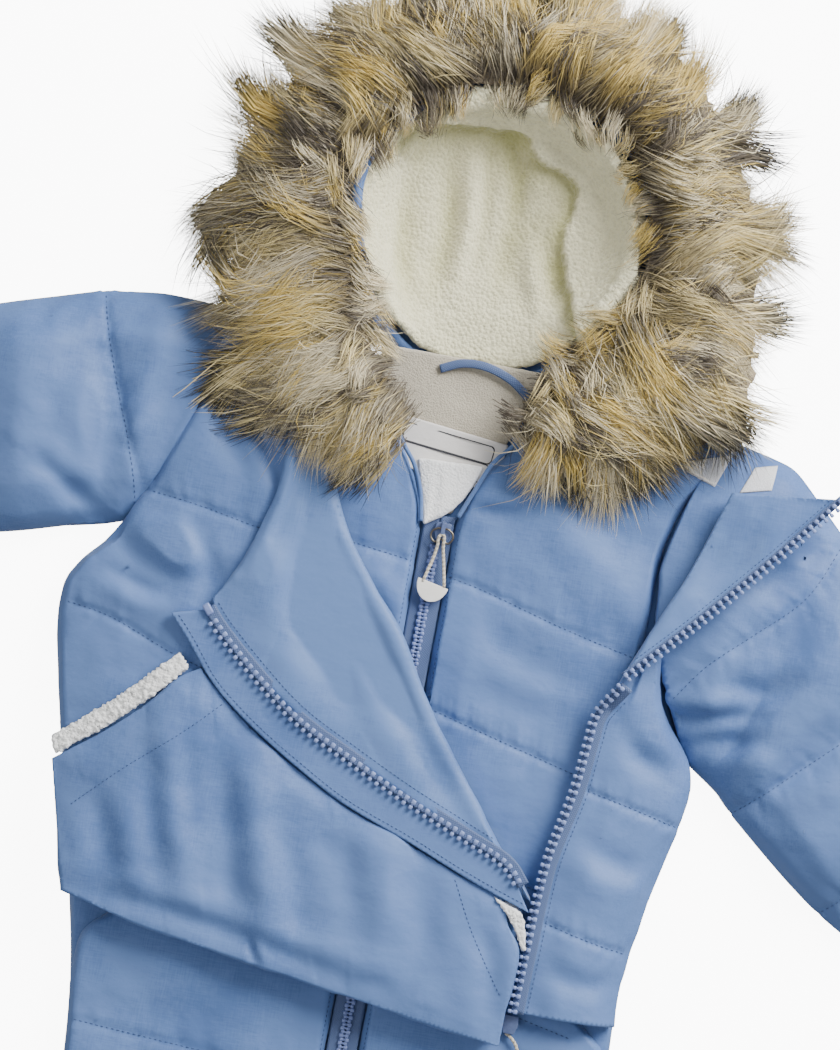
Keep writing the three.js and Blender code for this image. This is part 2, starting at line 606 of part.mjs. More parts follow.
// The legs' sections lie on either side of the crotch's middle
function legSide(sign) {
  return legRows.map((row) => ({
    ax: legCentreX + sign * row.outer, ay: row.y,
    bx: legCentreX + sign * row.inner, by: row.y,
    bow: 0, high: row.high,
  }));
}
const limbs = [
  { name: 'sleeve_left', cuff: 'cuff_left', rows: sleeveLeftRows },
  { name: 'sleeve_right', cuff: 'cuff_right', rows: sleeveRightRows },
  { name: 'leg_left', cuff: 'ankle_cuff_left', rows: legSide(-1) },
  { name: 'leg_right', cuff: 'ankle_cuff_right', rows: legSide(1) },
];
for (const limb of limbs) {
  tube(limb.name, limb.rows, padShape, clothBlue);
  tube(limb.cuff, cuffRows(limb.rows), cuffShape, cuffBlue);
}

// Hood: bowls of one section carried round its middle. The section is low where the hood meets the neck.
const neckSide = { flatUntil: 12, fullFrom: 62 };
function bowl(name, section, lowZ, highZ, count, color) {
  const closing = { angle: hoodRows[0].angle + 360, reach: hoodRows[0].reach };
  const hoodCurve = new THREE.CatmullRomCurve3(
    [...hoodRows, closing].map((row) => new THREE.Vector3(row.angle, row.reach, 0)),
  );
  const corners = [lowZ, highZ].map((z) => new THREE.Vector3(hoodMiddle.x, hoodMiddle.y, z));
  const size = section.length;
  for (let step = 0; step < count; step += 1) {
    const at = hoodCurve.getPoint(step / count);
    const turn = THREE.MathUtils.degToRad(at.x);
    const fromNeck = Math.abs(at.x > 90 ? at.x - 270 : at.x + 90);
    const rise = easeBetween(neckSide.flatUntil, neckSide.fullFrom, fromNeck);
    for (const point of section) {
      const reach = at.y * THREE.MathUtils.lerp(point.flatShare, point.share, rise);
      const [x, y] = [hoodMiddle.x + reach * Math.cos(turn), hoodMiddle.y + reach * Math.sin(turn)];
      corners.push(new THREE.Vector3(x, y, THREE.MathUtils.lerp(point.flatZ, point.z, rise)));
    }
  }
  const triangles = [];
  for (let step = 0; step < count; step += 1) {
    const [here, next] = [2 + step * size, 2 + ((step + 1) % count) * size];
    triangles.push([0, next, here], [1, here + size - 1, next + size - 1]);
    for (let index = 0; index < size - 1; index += 1) {
      const [a, b, c, d] = [here + index, next + index, next + index + 1, here + index + 1];
      triangles.push([a, b, c], [a, c, d]);
    }
  }
  piece(name, solid(corners, triangles), color, 1);
}
const shellSection = [
  { share: 0.6, z: 0, flatShare: 0.6, flatZ: 0 }, { share: 0.95, z: 2, flatShare: 0.97, flatZ: 0 },
  { share: 1, z: 12, flatShare: 1, flatZ: 1 }, { share: 0.95, z: 22, flatShare: 1, flatZ: 2 },
  { share: 0.79, z: 30, flatShare: 0.995, flatZ: 3 }, { share: 0.77, z: 27.5, flatShare: 0.98, flatZ: 3 },
  { share: 0.92, z: 19.5, flatShare: 0.94, flatZ: 3 }, { share: 0.965, z: 12, flatShare: 0.9, flatZ: 3 },
  { share: 0.92, z: 5.5, flatShare: 0.8, flatZ: 3 }, { share: 0.6, z: 3, flatShare: 0.6, flatZ: 3 },
];
const liningSection = [
  { share: 0.45, z: 3.3, flatShare: 0.45, flatZ: 3.3 }, { share: 0.62, z: 10, flatShare: 0.8, flatZ: 3.3 },
  { share: 0.71, z: 22, flatShare: 0.92, flatZ: 3.3 }, { share: 0.745, z: 31, flatShare: 0.95, flatZ: 4.5 },
  { share: 0.735, z: 33.5, flatShare: 0.94, flatZ: 6.5 }, { share: 0.7, z: 33, flatShare: 0.92, flatZ: 8 },
  { share: 0.66, z: 24, flatShare: 0.86, flatZ: 8 }, { share: 0.57, z: 13.5, flatShare: 0.75, flatZ: 8 },
  { share: 0.42, z: 8.5, flatShare: 0.45, flatZ: 8 },
];
bowl('hood_shell', shellSection, 0, 3, 28, clothBlue);
bowl('hood_lining', liningSection, 3.3, 8, 28, sherpa);

// Fur trim: a deep ring round the face, open at the throat, that falls to the surface outside the hood
const furTopShares = [
  { share: 0, rise: 5 }, { share: 0.12, rise: 14 }, { share: 0.3, rise: 22 }, { share: 0.5, rise: furHigh },
  { share: 0.7, rise: 16 }, { share: 0.88, rise: 8 }, { share: 1, rise: 3 },
];
const furUnderShares = [1, 0.86, 0.72, 0.58, 0.42, 0.2, 0];
const furFall = { from: 0.42, to: 0.8 };
const furLean = 0.12;
function furSection(row) {
  const place = (share, z) => new THREE.Vector3(
    THREE.MathUtils.lerp(row.inX, row.outX, share), THREE.MathUtils.lerp(row.inY, row.outY, share), z,
  );
  const fallen = (share) => easeBetween(furFall.from, furFall.to, share);
  const underZ = (share) => THREE.MathUtils.lerp(row.base, row.low, fallen(share));
  const topZ = ({ share, rise }) => underZ(Math.max(share - furLean, 0)) + rise;
  const over = furTopShares.map((at) => place(at.share, topZ(at)));
  const under = furUnderShares.map((share) => place(share, underZ(share)));
  return [...over, ...under];
}
const furSteps = 36;
const furCurves = [['inX', 'inY'], ['outX', 'outY'], ['base', 'low']].map(([first, second]) => (
  new THREE.CatmullRomCurve3(furRows.map((row) => new THREE.Vector3(row[first], row[second], 0)))
));
const furRings = Array.from({ length: furSteps + 1 }, (_, step) => {
  const [inside, outside, heights] = furCurves.map((curve) => curve.getPoint(step / furSteps));
  const low = Math.max(heights.y, 0);
  return furSection({ inX: inside.x, inY: inside.y, outX: outside.x, outY: outside.y, base: heights.x, low });
});
piece('fur_trim', ringWall(furRings, false), furTaupe, 1);

// Reflective patches at the right shoulder
const patchThick = 1;
const patchFront = between(
  smooth([{ x: 132, y: 58 }, { x: 136, y: 54 }], 2),
  smooth([{ x: 153, y: 64 }, { x: 150, y: 47 }], 2),
  evenColumns(3),
);
piece('patch_front', pad(patchFront, () => outerBase + patchThick, () => outerBase), patchGrey, 0.4);
const patchSleeve = between(
  smooth([{ x: 173, y: 49 }, { x: 180, y: 63 }], 4),
  smooth([{ x: 192, y: 50 }, { x: 194, y: 64 }], 4),
  evenColumns(3),
);
const sleeveFall = { high: 21.8, from: 48, slope: 0.45 };
const patchUnder = (x, y) => sleeveFall.high - (y - sleeveFall.from) * sleeveFall.slope;
const patchOver = (x, y) => patchUnder(x, y) + patchThick;
piece('patch_sleeve', pad(patchSleeve, patchOver, patchUnder), patchGrey, 0.4);

// Centre zip's slider, its bridge and the wire bail that turns in it
const sliderX = 0.5;
const sliderY = -10.3;
const sliderHigh = 3.4;
const bridgeAhead = 2;
const sliderTop = chainBase + sliderHigh;
const plateOutline = [
  { x: -4.4, y: 5.6 }, { x: 4.4, y: 5.6 }, { x: 5.2, y: 0 }, { x: 3.2, y: -5.6 }, { x: -3.2, y: -5.6 },
  { x: -5.2, y: 0 },
];
const bridgeOutline = [
  { x: -4.6, y: 0 }, { x: -3.4, y: 3.6 }, { x: 3.4, y: 3.6 }, { x: 4.6, y: 0 }, { x: 3, y: 0 },
  { x: 2.2, y: 2.5 }, { x: -2.2, y: 2.5 }, { x: -3, y: 0 },
];
const bridgeWide = 2.4;
const metal = { roughness: 0.35, metalness: 0.9 };
function outlined(outline, depth) {
  const shape = new THREE.Shape(outline.map((point) => new THREE.Vector2(point.x, point.y)));
  return new THREE.ExtrudeGeometry(shape, { depth, bevelEnabled: false });
}
function plate(name, centreX, centreY, base, high) {
  const mesh = piece(name, outlined(plateOutline, high), wireBrass, metal.roughness, metal.metalness);
  mesh.position.set(centreX, centreY, base);
}
function bridge(name, centreX, centreY, base) {
  const geometry = outlined(bridgeOutline, bridgeWide);
  geometry.rotateX(Math.PI / 2);
  geometry.rotateZ(Math.PI / 2);
  geometry.translate(-bridgeWide / 2, 0, 0);
  const mesh = piece(name, geometry, wireBrass, metal.roughness, metal.metalness);
  mesh.position.set(centreX, centreY, base);
}
plate('centre_slider', sliderX, sliderY, chainBase, sliderHigh);
bridge('centre_bridge', sliderX, sliderY + bridgeAhead, sliderTop + gap);

const wireRadius = 0.6;
const bailZ = sliderTop + gap + 2 * wireRadius;
const bailAxisY = sliderY + bridgeAhead;
const bailLine = [
  { x: -3, y: 0 }, { x: 0.5, y: 0 }, { x: 4, y: 0 }, { x: 6.2, y: -3.5 }, { x: 4.7, y: -7.2 },
  { x: 0.5, y: -8 }, { x: -3.7, y: -7.2 }, { x: -5.2, y: -3.5 },
];
const bailCurve = new THREE.CatmullRomCurve3(
  bailLine.map((point) => new THREE.Vector3(point.x, bailAxisY + point.y, bailZ)), true,
);
const bailSteps = 22;
const bailSides = 6;
const bailRings = Array.from({ length: bailSteps }, (_, step) => {
  const centre = bailCurve.getPoint(step / bailSteps);
  const heading = bailCurve.getTangent(step / bailSteps);
  const outward = new THREE.Vector3(heading.y, -heading.x, 0).normalize();
  return Array.from({ length: bailSides }, (_unused, side) => {
    const turn = side * 2 * Math.PI / bailSides;
    return centre.clone().addScaledVector(outward, wireRadius * Math.cos(turn)).add(
      new THREE.Vector3(0, 0, wireRadius * Math.sin(turn)),
    );
  });
});
piece('pull_bail', ringWall(bailRings, true), wireBrass, metal.roughness, metal.metalness);

// A loop of cord through the bail holds a half-moon tab
const cordRadius = 1;
const cordSides = 8;
function cord(name, route) {
  const curve = new THREE.CatmullRomCurve3(route.map(({ x, y, z }) => new THREE.Vector3(x, y, z)));
  const shape = new THREE.Shape();
  for (let side = 0; side < cordSides; side += 1) {
    const turn = side * 2 * Math.PI / cordSides;
    const [x, y] = [cordRadius * Math.cos(turn), cordRadius * Math.sin(turn)];
    if (side === 0) shape.moveTo(x, y);
    else shape.lineTo(x, y);
  }
  const geometry = new THREE.ExtrudeGeometry(shape, { steps: 14, bevelEnabled: false, extrudePath: curve });
  piece(name, geometry, cordBeige, 0.9);
}
const tabRadius = 9.7;
const tabDepth = 11.6;
const tabThick = 2;
const tabSteps = 12;
function halfMoon(name, centre, turn) {
  const outline = Array.from({ length: tabSteps + 1 }, (_, step) => {
    const angle = Math.PI * (1 + step / tabSteps);
    return { x: tabRadius * Math.cos(angle), y: tabDepth * Math.sin(angle) };
  });
  const geometry = outlined(outline, tabThick);
  geometry.rotateZ(turn);
  const mesh = piece(name, geometry, tabCream, 0.4);
  mesh.position.set(centre.x, centre.y, centre.z);
}
const pullZ = bailZ;
cord('pull_cord', [
  { x: -2.2, y: -40.4, z: pullZ }, { x: -1.6, y: -32, z: pullZ }, { x: -0.9, y: -24, z: pullZ },
  { x: -0.9, y: -20, z: pullZ }, { x: 0.6, y: -17.6, z: pullZ }, { x: 2.1, y: -20, z: pullZ },
  { x: 2.4, y: -24, z: pullZ }, { x: 3, y: -32, z: pullZ }, { x: 3.6, y: -41.6, z: pullZ },
]);
halfMoon('pull_tab', { x: 0.5, y: -41.5, z: pullZ - 1 }, THREE.MathUtils.degToRad(-12));

// Outer zip's slider lies under the pouch's lower corner, with its cord and tab on the front
const outerSlider = { x: 93.6, y: -293 };
plate('outer_slider', outerSlider.x, outerSlider.y, outerBase, sliderHigh);
const outerPullZ = outerBase + cordRadius + 0.1;
cord('outer_pull_cord', [
  { x: 95.2, y: -299.7, z: outerPullZ }, { x: 98.2, y: -302.6, z: outerPullZ },
  { x: 101.2, y: -308, z: outerPullZ }, { x: 101.4, y: -313.4, z: outerPullZ },
  { x: 98.4, y: -318, z: outerPullZ }, { x: 91, y: -320, z: outerPullZ },
]);
halfMoon('outer_pull_tab', { x: 88.5, y: -319.6, z: outerBase }, THREE.MathUtils.degToRad(-58));

// The finished suit stands on Z = 0 with its origin at the middle of its footprint
group.updateMatrixWorld(true);
const reach = new THREE.Box3().setFromObject(group);
const middleX = (reach.min.x + reach.max.x) / 2;
const middleY = (reach.min.y + reach.max.y) / 2;
group.position.set(-middleX, -middleY, -reach.min.z);

export default group;
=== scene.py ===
import json
import math
import random
import bmesh
import bpy
import numpy as np
from mathutils import Matrix, Vector, bvhtree, noise


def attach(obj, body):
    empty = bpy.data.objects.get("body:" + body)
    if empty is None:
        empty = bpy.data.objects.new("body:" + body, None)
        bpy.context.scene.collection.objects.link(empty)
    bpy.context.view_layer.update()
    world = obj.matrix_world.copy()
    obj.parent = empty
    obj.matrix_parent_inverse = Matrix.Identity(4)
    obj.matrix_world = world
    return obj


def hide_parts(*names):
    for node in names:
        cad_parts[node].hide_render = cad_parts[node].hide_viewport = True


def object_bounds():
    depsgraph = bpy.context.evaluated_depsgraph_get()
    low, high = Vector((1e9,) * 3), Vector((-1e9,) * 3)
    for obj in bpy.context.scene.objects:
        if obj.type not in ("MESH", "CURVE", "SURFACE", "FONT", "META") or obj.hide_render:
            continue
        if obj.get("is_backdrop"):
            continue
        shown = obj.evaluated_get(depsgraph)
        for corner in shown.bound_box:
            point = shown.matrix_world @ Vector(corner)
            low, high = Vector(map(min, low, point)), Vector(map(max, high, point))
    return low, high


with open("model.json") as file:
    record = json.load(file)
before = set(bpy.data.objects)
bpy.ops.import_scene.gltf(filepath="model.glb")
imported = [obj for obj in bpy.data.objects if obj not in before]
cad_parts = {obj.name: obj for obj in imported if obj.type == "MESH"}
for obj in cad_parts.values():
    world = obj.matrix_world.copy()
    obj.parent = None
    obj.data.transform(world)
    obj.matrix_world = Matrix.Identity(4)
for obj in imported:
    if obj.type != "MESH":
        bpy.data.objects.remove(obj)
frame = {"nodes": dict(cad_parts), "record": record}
cadLow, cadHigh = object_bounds()
nodes = frame["nodes"]

# Panels are laid out in millimetres from the point of the neckline, as the maker's drawing has them
neckPoint = frame["record"]["mounts"][0]["pos_m"]


def place(x, y, z):
    return Vector((x / 1000 + neckPoint[0], y / 1000 + neckPoint[1], z / 1000))


# x and y in millimetres from the neckline of an array of places in metres
def planOf(points):
    return points[:, 0] * 1000 - neckPoint[0] * 1000, points[:, 1] * 1000 - neckPoint[1] * 1000


# Camera: straight above the chest, turned with the garment
cameraSet = {"x": -13.7, "y": -8.6, "above": 2.6, "viewHigh": 0.630, "turn": 10.5}
lensHigh = 24
cameraData = bpy.data.cameras.new("studioCamera")
cameraData.sensor_fit = "VERTICAL"
cameraData.sensor_height = lensHigh
cameraData.lens = lensHigh * cameraSet["above"] / cameraSet["viewHigh"]
cameraData.clip_end = 20
studioCamera = bpy.data.objects.new("studioCamera", cameraData)
studioCamera.location = place(cameraSet["x"], cameraSet["y"], 1000 * (cameraSet["above"] + 0.02))
studioCamera.rotation_euler = (0, 0, math.radians(cameraSet["turn"]))
bpy.context.scene.collection.objects.link(studioCamera)
bpy.context.scene.camera = studioCamera
print("camera set")


# Shared ways of making pieces
def newPiece(name, bm, material, body="suit", smooth=True):
    mesh = bpy.data.meshes.new(name)
    bm.to_mesh(mesh)
    bm.free()
    return pieceOf(name, mesh, material, body, smooth)


def pieceOf(name, mesh, material, body="suit", smooth=True):
    piece = bpy.data.objects.new(name, mesh)
    bpy.context.scene.collection.objects.link(piece)
    mesh.materials.clear()
    mesh.materials.append(material)
    mesh.polygons.foreach_set("use_smooth", [smooth] * len(mesh.polygons))
    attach(piece, body)
    return piece


# Keeps what the modifiers give as the piece's own mesh
def settle(piece):
    graph = bpy.context.evaluated_depsgraph_get()
    done = bpy.data.meshes.new_from_object(piece.evaluated_get(graph))
    piece.modifiers.clear()
    piece.data = done
    return piece


# Gives an open sheet its thickness, downward from the face that is drawn
def walled(piece, thick):
    wall = piece.modifiers.new("wall", "SOLIDIFY")
    wall.thickness, wall.offset = thick / 1000, -1
    return settle(piece)


def faceUp(bm):
    bmesh.ops.recalc_face_normals(bm, faces=bm.faces)
    if sum(f.normal.z for f in bm.faces) < 0:
        bmesh.ops.reverse_faces(bm, faces=bm.faces)


def readPoints(mesh):
    points = np.empty(len(mesh.vertices) * 3)
    mesh.vertices.foreach_get("co", points)
    normals = np.empty(len(mesh.vertices) * 3)
    mesh.vertices.foreach_get("normal", normals)
    return points.reshape(-1, 3), normals.reshape(-1, 3)


def writePoints(mesh, points):
    mesh.vertices.foreach_set("co", points.ravel())
    mesh.update()


# For each place: its signed distance from a line, and how far along the line it lies, in millimetres
def alongLine(line, x, y):
    nearest = np.full(x.shape, 1e9)
    signed = np.zeros(x.shape)
    travelled = np.zeros(x.shape)
    start = 0.0
    for (ax, ay), (bx, by) in zip(line[:-1], line[1:]):
        long = math.hypot(bx - ax, by - ay)
        ux, uy = (bx - ax) / long, (by - ay) / long
        share = np.clip((x - ax) * ux + (y - ay) * uy, 0, long)
        gapX, gapY = x - ax - share * ux, y - ay - share * uy
        away = np.hypot(gapX, gapY)
        closer = away < nearest
        nearest[closer] = away[closer]
        signed[closer] = (np.sign(ux * gapY - uy * gapX) * away)[closer]
        travelled[closer] = (start + share)[closer]
        start += long
    return signed, travelled, start


# A smooth uneven wave of about -1 to 1 along a length
def wander(value, seed, scale):
    steps = random.Random(seed)
    total = np.zeros_like(value)
    for turn in (1.0, 1.7, 2.6, 3.9):
        pitch = turn * steps.uniform(0.85, 1.15)
        total += np.sin(value / scale * pitch + steps.uniform(0, 6.28)) / (1 + turn)
    return total / 1.1


# A stitched seam: a narrow valley with small uneven puckers on both sides
def seamPull(x, y, line, seed, deep, wide, pucker):
    signed, travelled, total = alongLine(line, x, y)
    away = np.abs(signed)
    ends = np.clip(np.minimum(travelled, total - travelled) / 4, 0, 1)
    valley = -deep * np.exp(-((away / wide) ** 2)) * ends
    reach = np.exp(-away / 7.5) * np.clip(away / 2.5, 0, 1)
    side = np.where(signed > 0, 0.0, 40.0)
    ripple = pucker * reach * wander(travelled + side + 0.35 * away, seed, 3.4)
    return valley + ripple * ends


# A soft fold: a trough with a ridge beside it, fading at both ends. A minus sign turns it round.
def foldShape(x, y, line, wide, deep):
    signed, travelled, total = alongLine(line, x, y)
    share = np.clip(travelled / total, 0, 1)
    fade = np.sin(np.pi * np.clip(share * 0.94 + 0.03, 0, 1)) ** 0.7
    trough = np.exp(-((signed / wide) ** 2))
    ridge = np.exp(-(((signed - 1.5 * wide * math.copysign(1, deep)) / (1.3 * wide)) ** 2))
    return abs(deep) * fade * (0.6 * ridge - trough)


def unevenness(points, seed, scale, high):
    away = Vector((seed * 7.1, seed * 3.3, seed * 1.7))
    return high * np.array([noise.noise(Vector(p) * scale + away) for p in points])


def heightOver(tree, x, y):
    hit = tree.ray_cast(place(x, y, 300), Vector((0, 0, -1)))[0]
    return None if hit is None else hit.z * 1000


def treeOf(*pieces):
    bm = bmesh.new()
    for piece in pieces:
        bm.from_mesh(piece.data)
    tree = bvhtree.BVHTree.FromBMesh(bm)
    bm.free()
    return tree


# Points at an even pitch along a line of plan points, with their headings
def spaced(line, pitch):
    at = np.array(line, float)
    steps = np.hypot(*np.diff(at, axis=0).T)
    total = np.concatenate([[0], np.cumsum(steps)])
    wanted = np.arange(pitch / 2, total[-1], pitch)
    points = np.stack([np.interp(wanted, total, at[:, k]) for k in range(2)], axis=1)
    ahead = np.stack([np.interp(wanted + 0.8, total, at[:, k]) for k in range(2)], axis=1)
    behind = np.stack([np.interp(wanted - 0.8, total, at[:, k]) for k in range(2)], axis=1)
    heading = ahead - behind
    return points, heading / np.maximum(np.linalg.norm(heading, axis=1, keepdims=True), 1e-9)


# A smooth line through a few plan points
def curved(line, count=40):
    at = np.array(line, float)
    known = np.concatenate([[0], np.cumsum(np.hypot(*np.diff(at, axis=0).T) ** 0.5)])
    padFront, padBack = 2 * at[0] - at[1], 2 * at[-1] - at[-2]
    full = np.vstack([padFront, at, padBack])
    when = np.concatenate([[known[0] - known[1]], known, [2 * known[-1] - known[-2]]])
    made = []
    for t in np.linspace(known[0], known[-1], count):
        k = min(max(int(np.searchsorted(known, t, side="right")), 1), len(known) - 1)
        p0, p1, p2, p3 = full[k - 1:k + 3]
        t0, t1, t2, t3 = when[k - 1:k + 3]
        a1 = (t1 - t) / (t1 - t0) * p0 + (t - t0) / (t1 - t0) * p1
        a2 = (t2 - t) / (t2 - t1) * p1 + (t - t1) / (t2 - t1) * p2
        a3 = (t3 - t) / (t3 - t2) * p2 + (t - t2) / (t3 - t2) * p3
        b1 = (t2 - t) / (t2 - t0) * a1 + (t - t0) / (t2 - t0) * a2
        b2 = (t3 - t) / (t3 - t1) * a2 + (t - t1) / (t3 - t1) * a3
        made.append((t2 - t) / (t2 - t1) * b1 + (t - t1) / (t2 - t1) * b2)
    return [tuple(p) for p in made]


# Many copies of one small shape, as a single mesh. places are in metres, turns are 3x3 arrays
def repeatedMesh(name, template, places, turns, material, body="suit", smooth=True):
    local = np.array([v.co[:] for v in template.verts])
    rings = [[v.index for v in f.verts] for f in template.faces]
    template.free()
    every = np.einsum("nij,kj->nki", np.array(turns), local) + np.array(places)[:, None, :]
    faces = [[i + step * len(local) for i in ring] for step in range(len(places)) for ring in rings]
    mesh = bpy.data.meshes.new(name)
    mesh.from_pydata(every.reshape(-1, 3).tolist(), [], faces)
    return pieceOf(name, mesh, material, body, smooth)


# Materials
def newMaterial(name, color, roughness, metallic=0.0, **more):
    material = bpy.data.materials.new(name)
    material.use_nodes = True
    shader = material.node_tree.nodes["Principled BSDF"]
    shader.inputs["Base Color"].default_value = (*color, 1)
    shader.inputs["Roughness"].default_value = roughness
    shader.inputs["Metallic"].default_value = metallic
    for socket, value in more.items():
        shader.inputs[socket.replace("_", " ")].default_value = value
    return material, material.node_tree, shader


def addNode(tree, kind, links=(), **settings):
    node = tree.nodes.new("ShaderNode" + kind)
    for key, value in settings.items():
        if key[0].isupper():
            node.inputs[key.replace("_", " ")].default_value = value
        else:
            setattr(node, key, value)
    for socket, source in dict(links).items():
        tree.links.new(source, node.inputs[socket])
    return node


def grain(tree, scale, stretch=(1, 1, 1), detail=3.0, roughness=0.55, source="Object"):
    where = addNode(tree, "TexCoord").outputs[source]
    mapped = addNode(tree, "Mapping", {"Vector": where}, Scale=stretch).outputs["Vector"]
    noiseNode = addNode(tree, "TexNoise", {"Vector": mapped}, Scale=scale, Detail=detail, Roughness=roughness)
    return noiseNode.outputs["Fac"]


def threads(tree, pitch, axis, turn=0.0, source="Object"):
    where = addNode(tree, "TexCoord").outputs[source]
    mapped = addNode(tree, "Mapping", {"Vector": where}, Rotation=(0, 0, turn)).outputs["Vector"]
    waves = addNode(
        tree, "TexWave", {"Vector": mapped}, bands_direction=axis, Scale=0.314 / pitch, Distortion=0.6, Detail=1.0,
    )
    return waves.outputs["Fac"]


def tinted(tree, shader, factor, dark, light, low=0.3, high=0.7):
    ramp = addNode(tree, "ValToRGB", {"Fac": factor})
    ramp.color_ramp.elements[0].position, ramp.color_ramp.elements[1].position = low, high
    ramp.color_ramp.elements[0].color, ramp.color_ramp.elements[1].color = (*dark, 1), (*light, 1)
    tree.links.new(ramp.outputs["Color"], shader.inputs["Base Color"])
    return ramp


def bumped(tree, shader, *layers):
    normal = None
    for height, distance in layers:
        links = {"Height": height}
        if normal:
            links["Normal"] = normal
        normal = addNode(tree, "Bump", links, Distance=distance, Strength=1.0).outputs["Normal"]
    tree.links.new(normal, shader.inputs["Normal"])


def mixed(tree, first, second, operation="ADD"):
    return addNode(tree, "Math", {0: first, 1: second}, operation=operation).outputs["Value"]


clothSet = {
    "shellDark": (0.078, 0.150, 0.358), "shellLight": (0.114, 0.202, 0.44),
    "facingDark": (0.084, 0.160, 0.372), "facingLight": (0.120, 0.212, 0.452), "threadPitch": 0.00045,
}


def wovenCloth(name, dark, light, roughness, sheen, creaseScale=95.0, creaseHigh=0.0005):
    material, tree, shader = newMaterial(
        name, light, roughness, Sheen_Weight=sheen, Sheen_Roughness=0.4, Specular_IOR_Level=0.32,
    )
    broad = grain(tree, 11.0, detail=4.0)
    warp = grain(tree, 800.0, stretch=(0.12, 1.6, 1), detail=2.0)
    weft = grain(tree, 800.0, stretch=(1.6, 0.12, 1), detail=2.0)
    fine = mixed(tree, warp, weft)
    tinted(tree, shader, mixed(tree, broad, mixed(tree, fine, broad, "MULTIPLY")), dark, light, 0.68, 1.32)
    pitch = clothSet["threadPitch"]
    weave = mixed(tree, threads(tree, pitch, "X"), threads(tree, pitch, "Y"), "MULTIPLY")
    soft = grain(tree, creaseScale, stretch=(1, 1.35, 1), detail=3.5, roughness=0.5)
    bumped(tree, shader, (soft, creaseHigh), (weave, 0.00004))
    return material


shellCloth = wovenCloth("blueShellCloth", clothSet["shellDark"], clothSet["shellLight"], 0.52, 0.14)
facingCloth = wovenCloth("blueFacingCloth", clothSet["facingDark"], clothSet["facingLight"], 0.46, 0.3, 60.0)
cuffKnit, tree, shader = newMaterial("ribbedCuffKnit", (0.10, 0.16, 0.31), 0.85, Sheen_Weight=0.4)
ribs = threads(tree, 0.0028, "X", source="UV")
tinted(tree, shader, ribs, (0.07, 0.115, 0.23), (0.13, 0.2, 0.37))
bumped(tree, shader, (ribs, 0.0008), (grain(tree, 1400.0), 0.0001))

# Herringbone tape reads its own length and width in metres
tapeMaterial, tree, shader = newMaterial("herringboneTape", (0.13, 0.2, 0.4), 0.62, Sheen_Weight=0.15)
slantLeft = threads(tree, 0.0011, "X", 0.9, "UV")
slantRight = threads(tree, 0.0011, "X", -0.9, "UV")
chevron = mixed(tree, slantLeft, slantRight, "MULTIPLY")
tinted(tree, shader, chevron, (0.062, 0.102, 0.23), (0.125, 0.188, 0.355), 0.1, 0.9)
bumped(tree, shader, (chevron, 0.00015))

threadMaterial, tree, shader = newMaterial("sewingThread", (0.035, 0.065, 0.17), 0.6)
twist = threads(tree, 0.0006, "DIAGONAL")
tinted(tree, shader, twist, (0.022, 0.045, 0.12), (0.055, 0.095, 0.22))
bumped(tree, shader, (twist, 0.00008))

toothMaterial, tree, shader = newMaterial(
    "mouldedTeeth", (0.2, 0.27, 0.53), 0.36, Coat_Weight=0.1, Coat_Roughness=0.3,
)
tinted(tree, shader, grain(tree, 260.0), (0.18, 0.245, 0.49), (0.25, 0.325, 0.59))
bumped(tree, shader, (grain(tree, 2500.0), 0.00003))
deepToothMaterial, tree, shader = newMaterial("blueMouldedTeeth", (0.16, 0.215, 0.46), 0.36)
tinted(tree, shader, grain(tree, 260.0), (0.145, 0.195, 0.42), (0.2, 0.265, 0.52))
bumped(tree, shader, (grain(tree, 2500.0), 0.00003))


def pileFleece(name, dark, light, curl, curlHigh):
    material, tree, shader = newMaterial(name, light, 0.95, Sheen_Weight=0.5, Sheen_Roughness=0.6)
    where = addNode(tree, "TexCoord").outputs["Object"]
    knots = addNode(tree, "TexVoronoi", {"Vector": where}, Scale=curl, Randomness=1.0).outputs["Distance"]
    fuzz = grain(tree, curl * 2.3, detail=4.0, roughness=0.7)
    tinted(tree, shader, mixed(tree, fuzz, mixed(tree, knots, fuzz, "MULTIPLY")), dark, light, 0.2, 0.85)
    bumped(tree, shader, (knots, -curlHigh), (fuzz, curlHigh * 0.8))
    return material


sherpaMaterial = pileFleece("sherpaPile", (0.67, 0.62, 0.37), (0.96, 0.91, 0.62), 430.0, 0.0009)
tree = sherpaMaterial.node_tree
shader = next(n for n in tree.nodes if n.type == "BSDF_PRINCIPLED")
pileTone = shader.inputs["Base Color"].links[0].from_socket
# Painted shade: the pile is multiplied towards khaki by the lining's shade attribute, a painted shadow under the
# raised edge and painted shade in the fold troughs
shade = addNode(tree, "Attribute", attribute_name="shade").outputs["Fac"]
paintedShadeMix = addNode(tree, "MixRGB", {"Color1": pileTone, "Fac": shade}, blend_type="MULTIPLY")
paintedShadeMix.inputs["Color2"].default_value = (0.48, 0.49, 0.25, 1)
tree.links.new(paintedShadeMix.outputs["Color"], shader.inputs["Base Color"])
trimMaterial = pileFleece("whiteSherpaTrim", (0.90, 0.885, 0.85), (1.0, 1.0, 0.98), 520.0, 0.0009)
fleeceMaterial = pileFleece("greyNeckFleece", (0.35, 0.31, 0.23), (0.52, 0.465, 0.36), 900.0, 0.0004)
guardMaterial = pileFleece("whiteChinFleece", (0.95, 0.93, 0.91), (1.0, 1.0, 0.99), 700.0, 0.0004)

# The two pull cords come before the cloth
cordMaterial, tree, shader = newMaterial("twistedCord", (0.62, 0.55, 0.42), 0.8, Sheen_Weight=0.3)
strands = threads(tree, 0.0013, "DIAGONAL", 0.0, "UV")
tinted(tree, shader, strands, (0.42, 0.36, 0.27), (0.74, 0.68, 0.55), 0.1, 0.8)
bumped(tree, shader, (strands, 0.0003), (grain(tree, 3000.0), 0.0001))

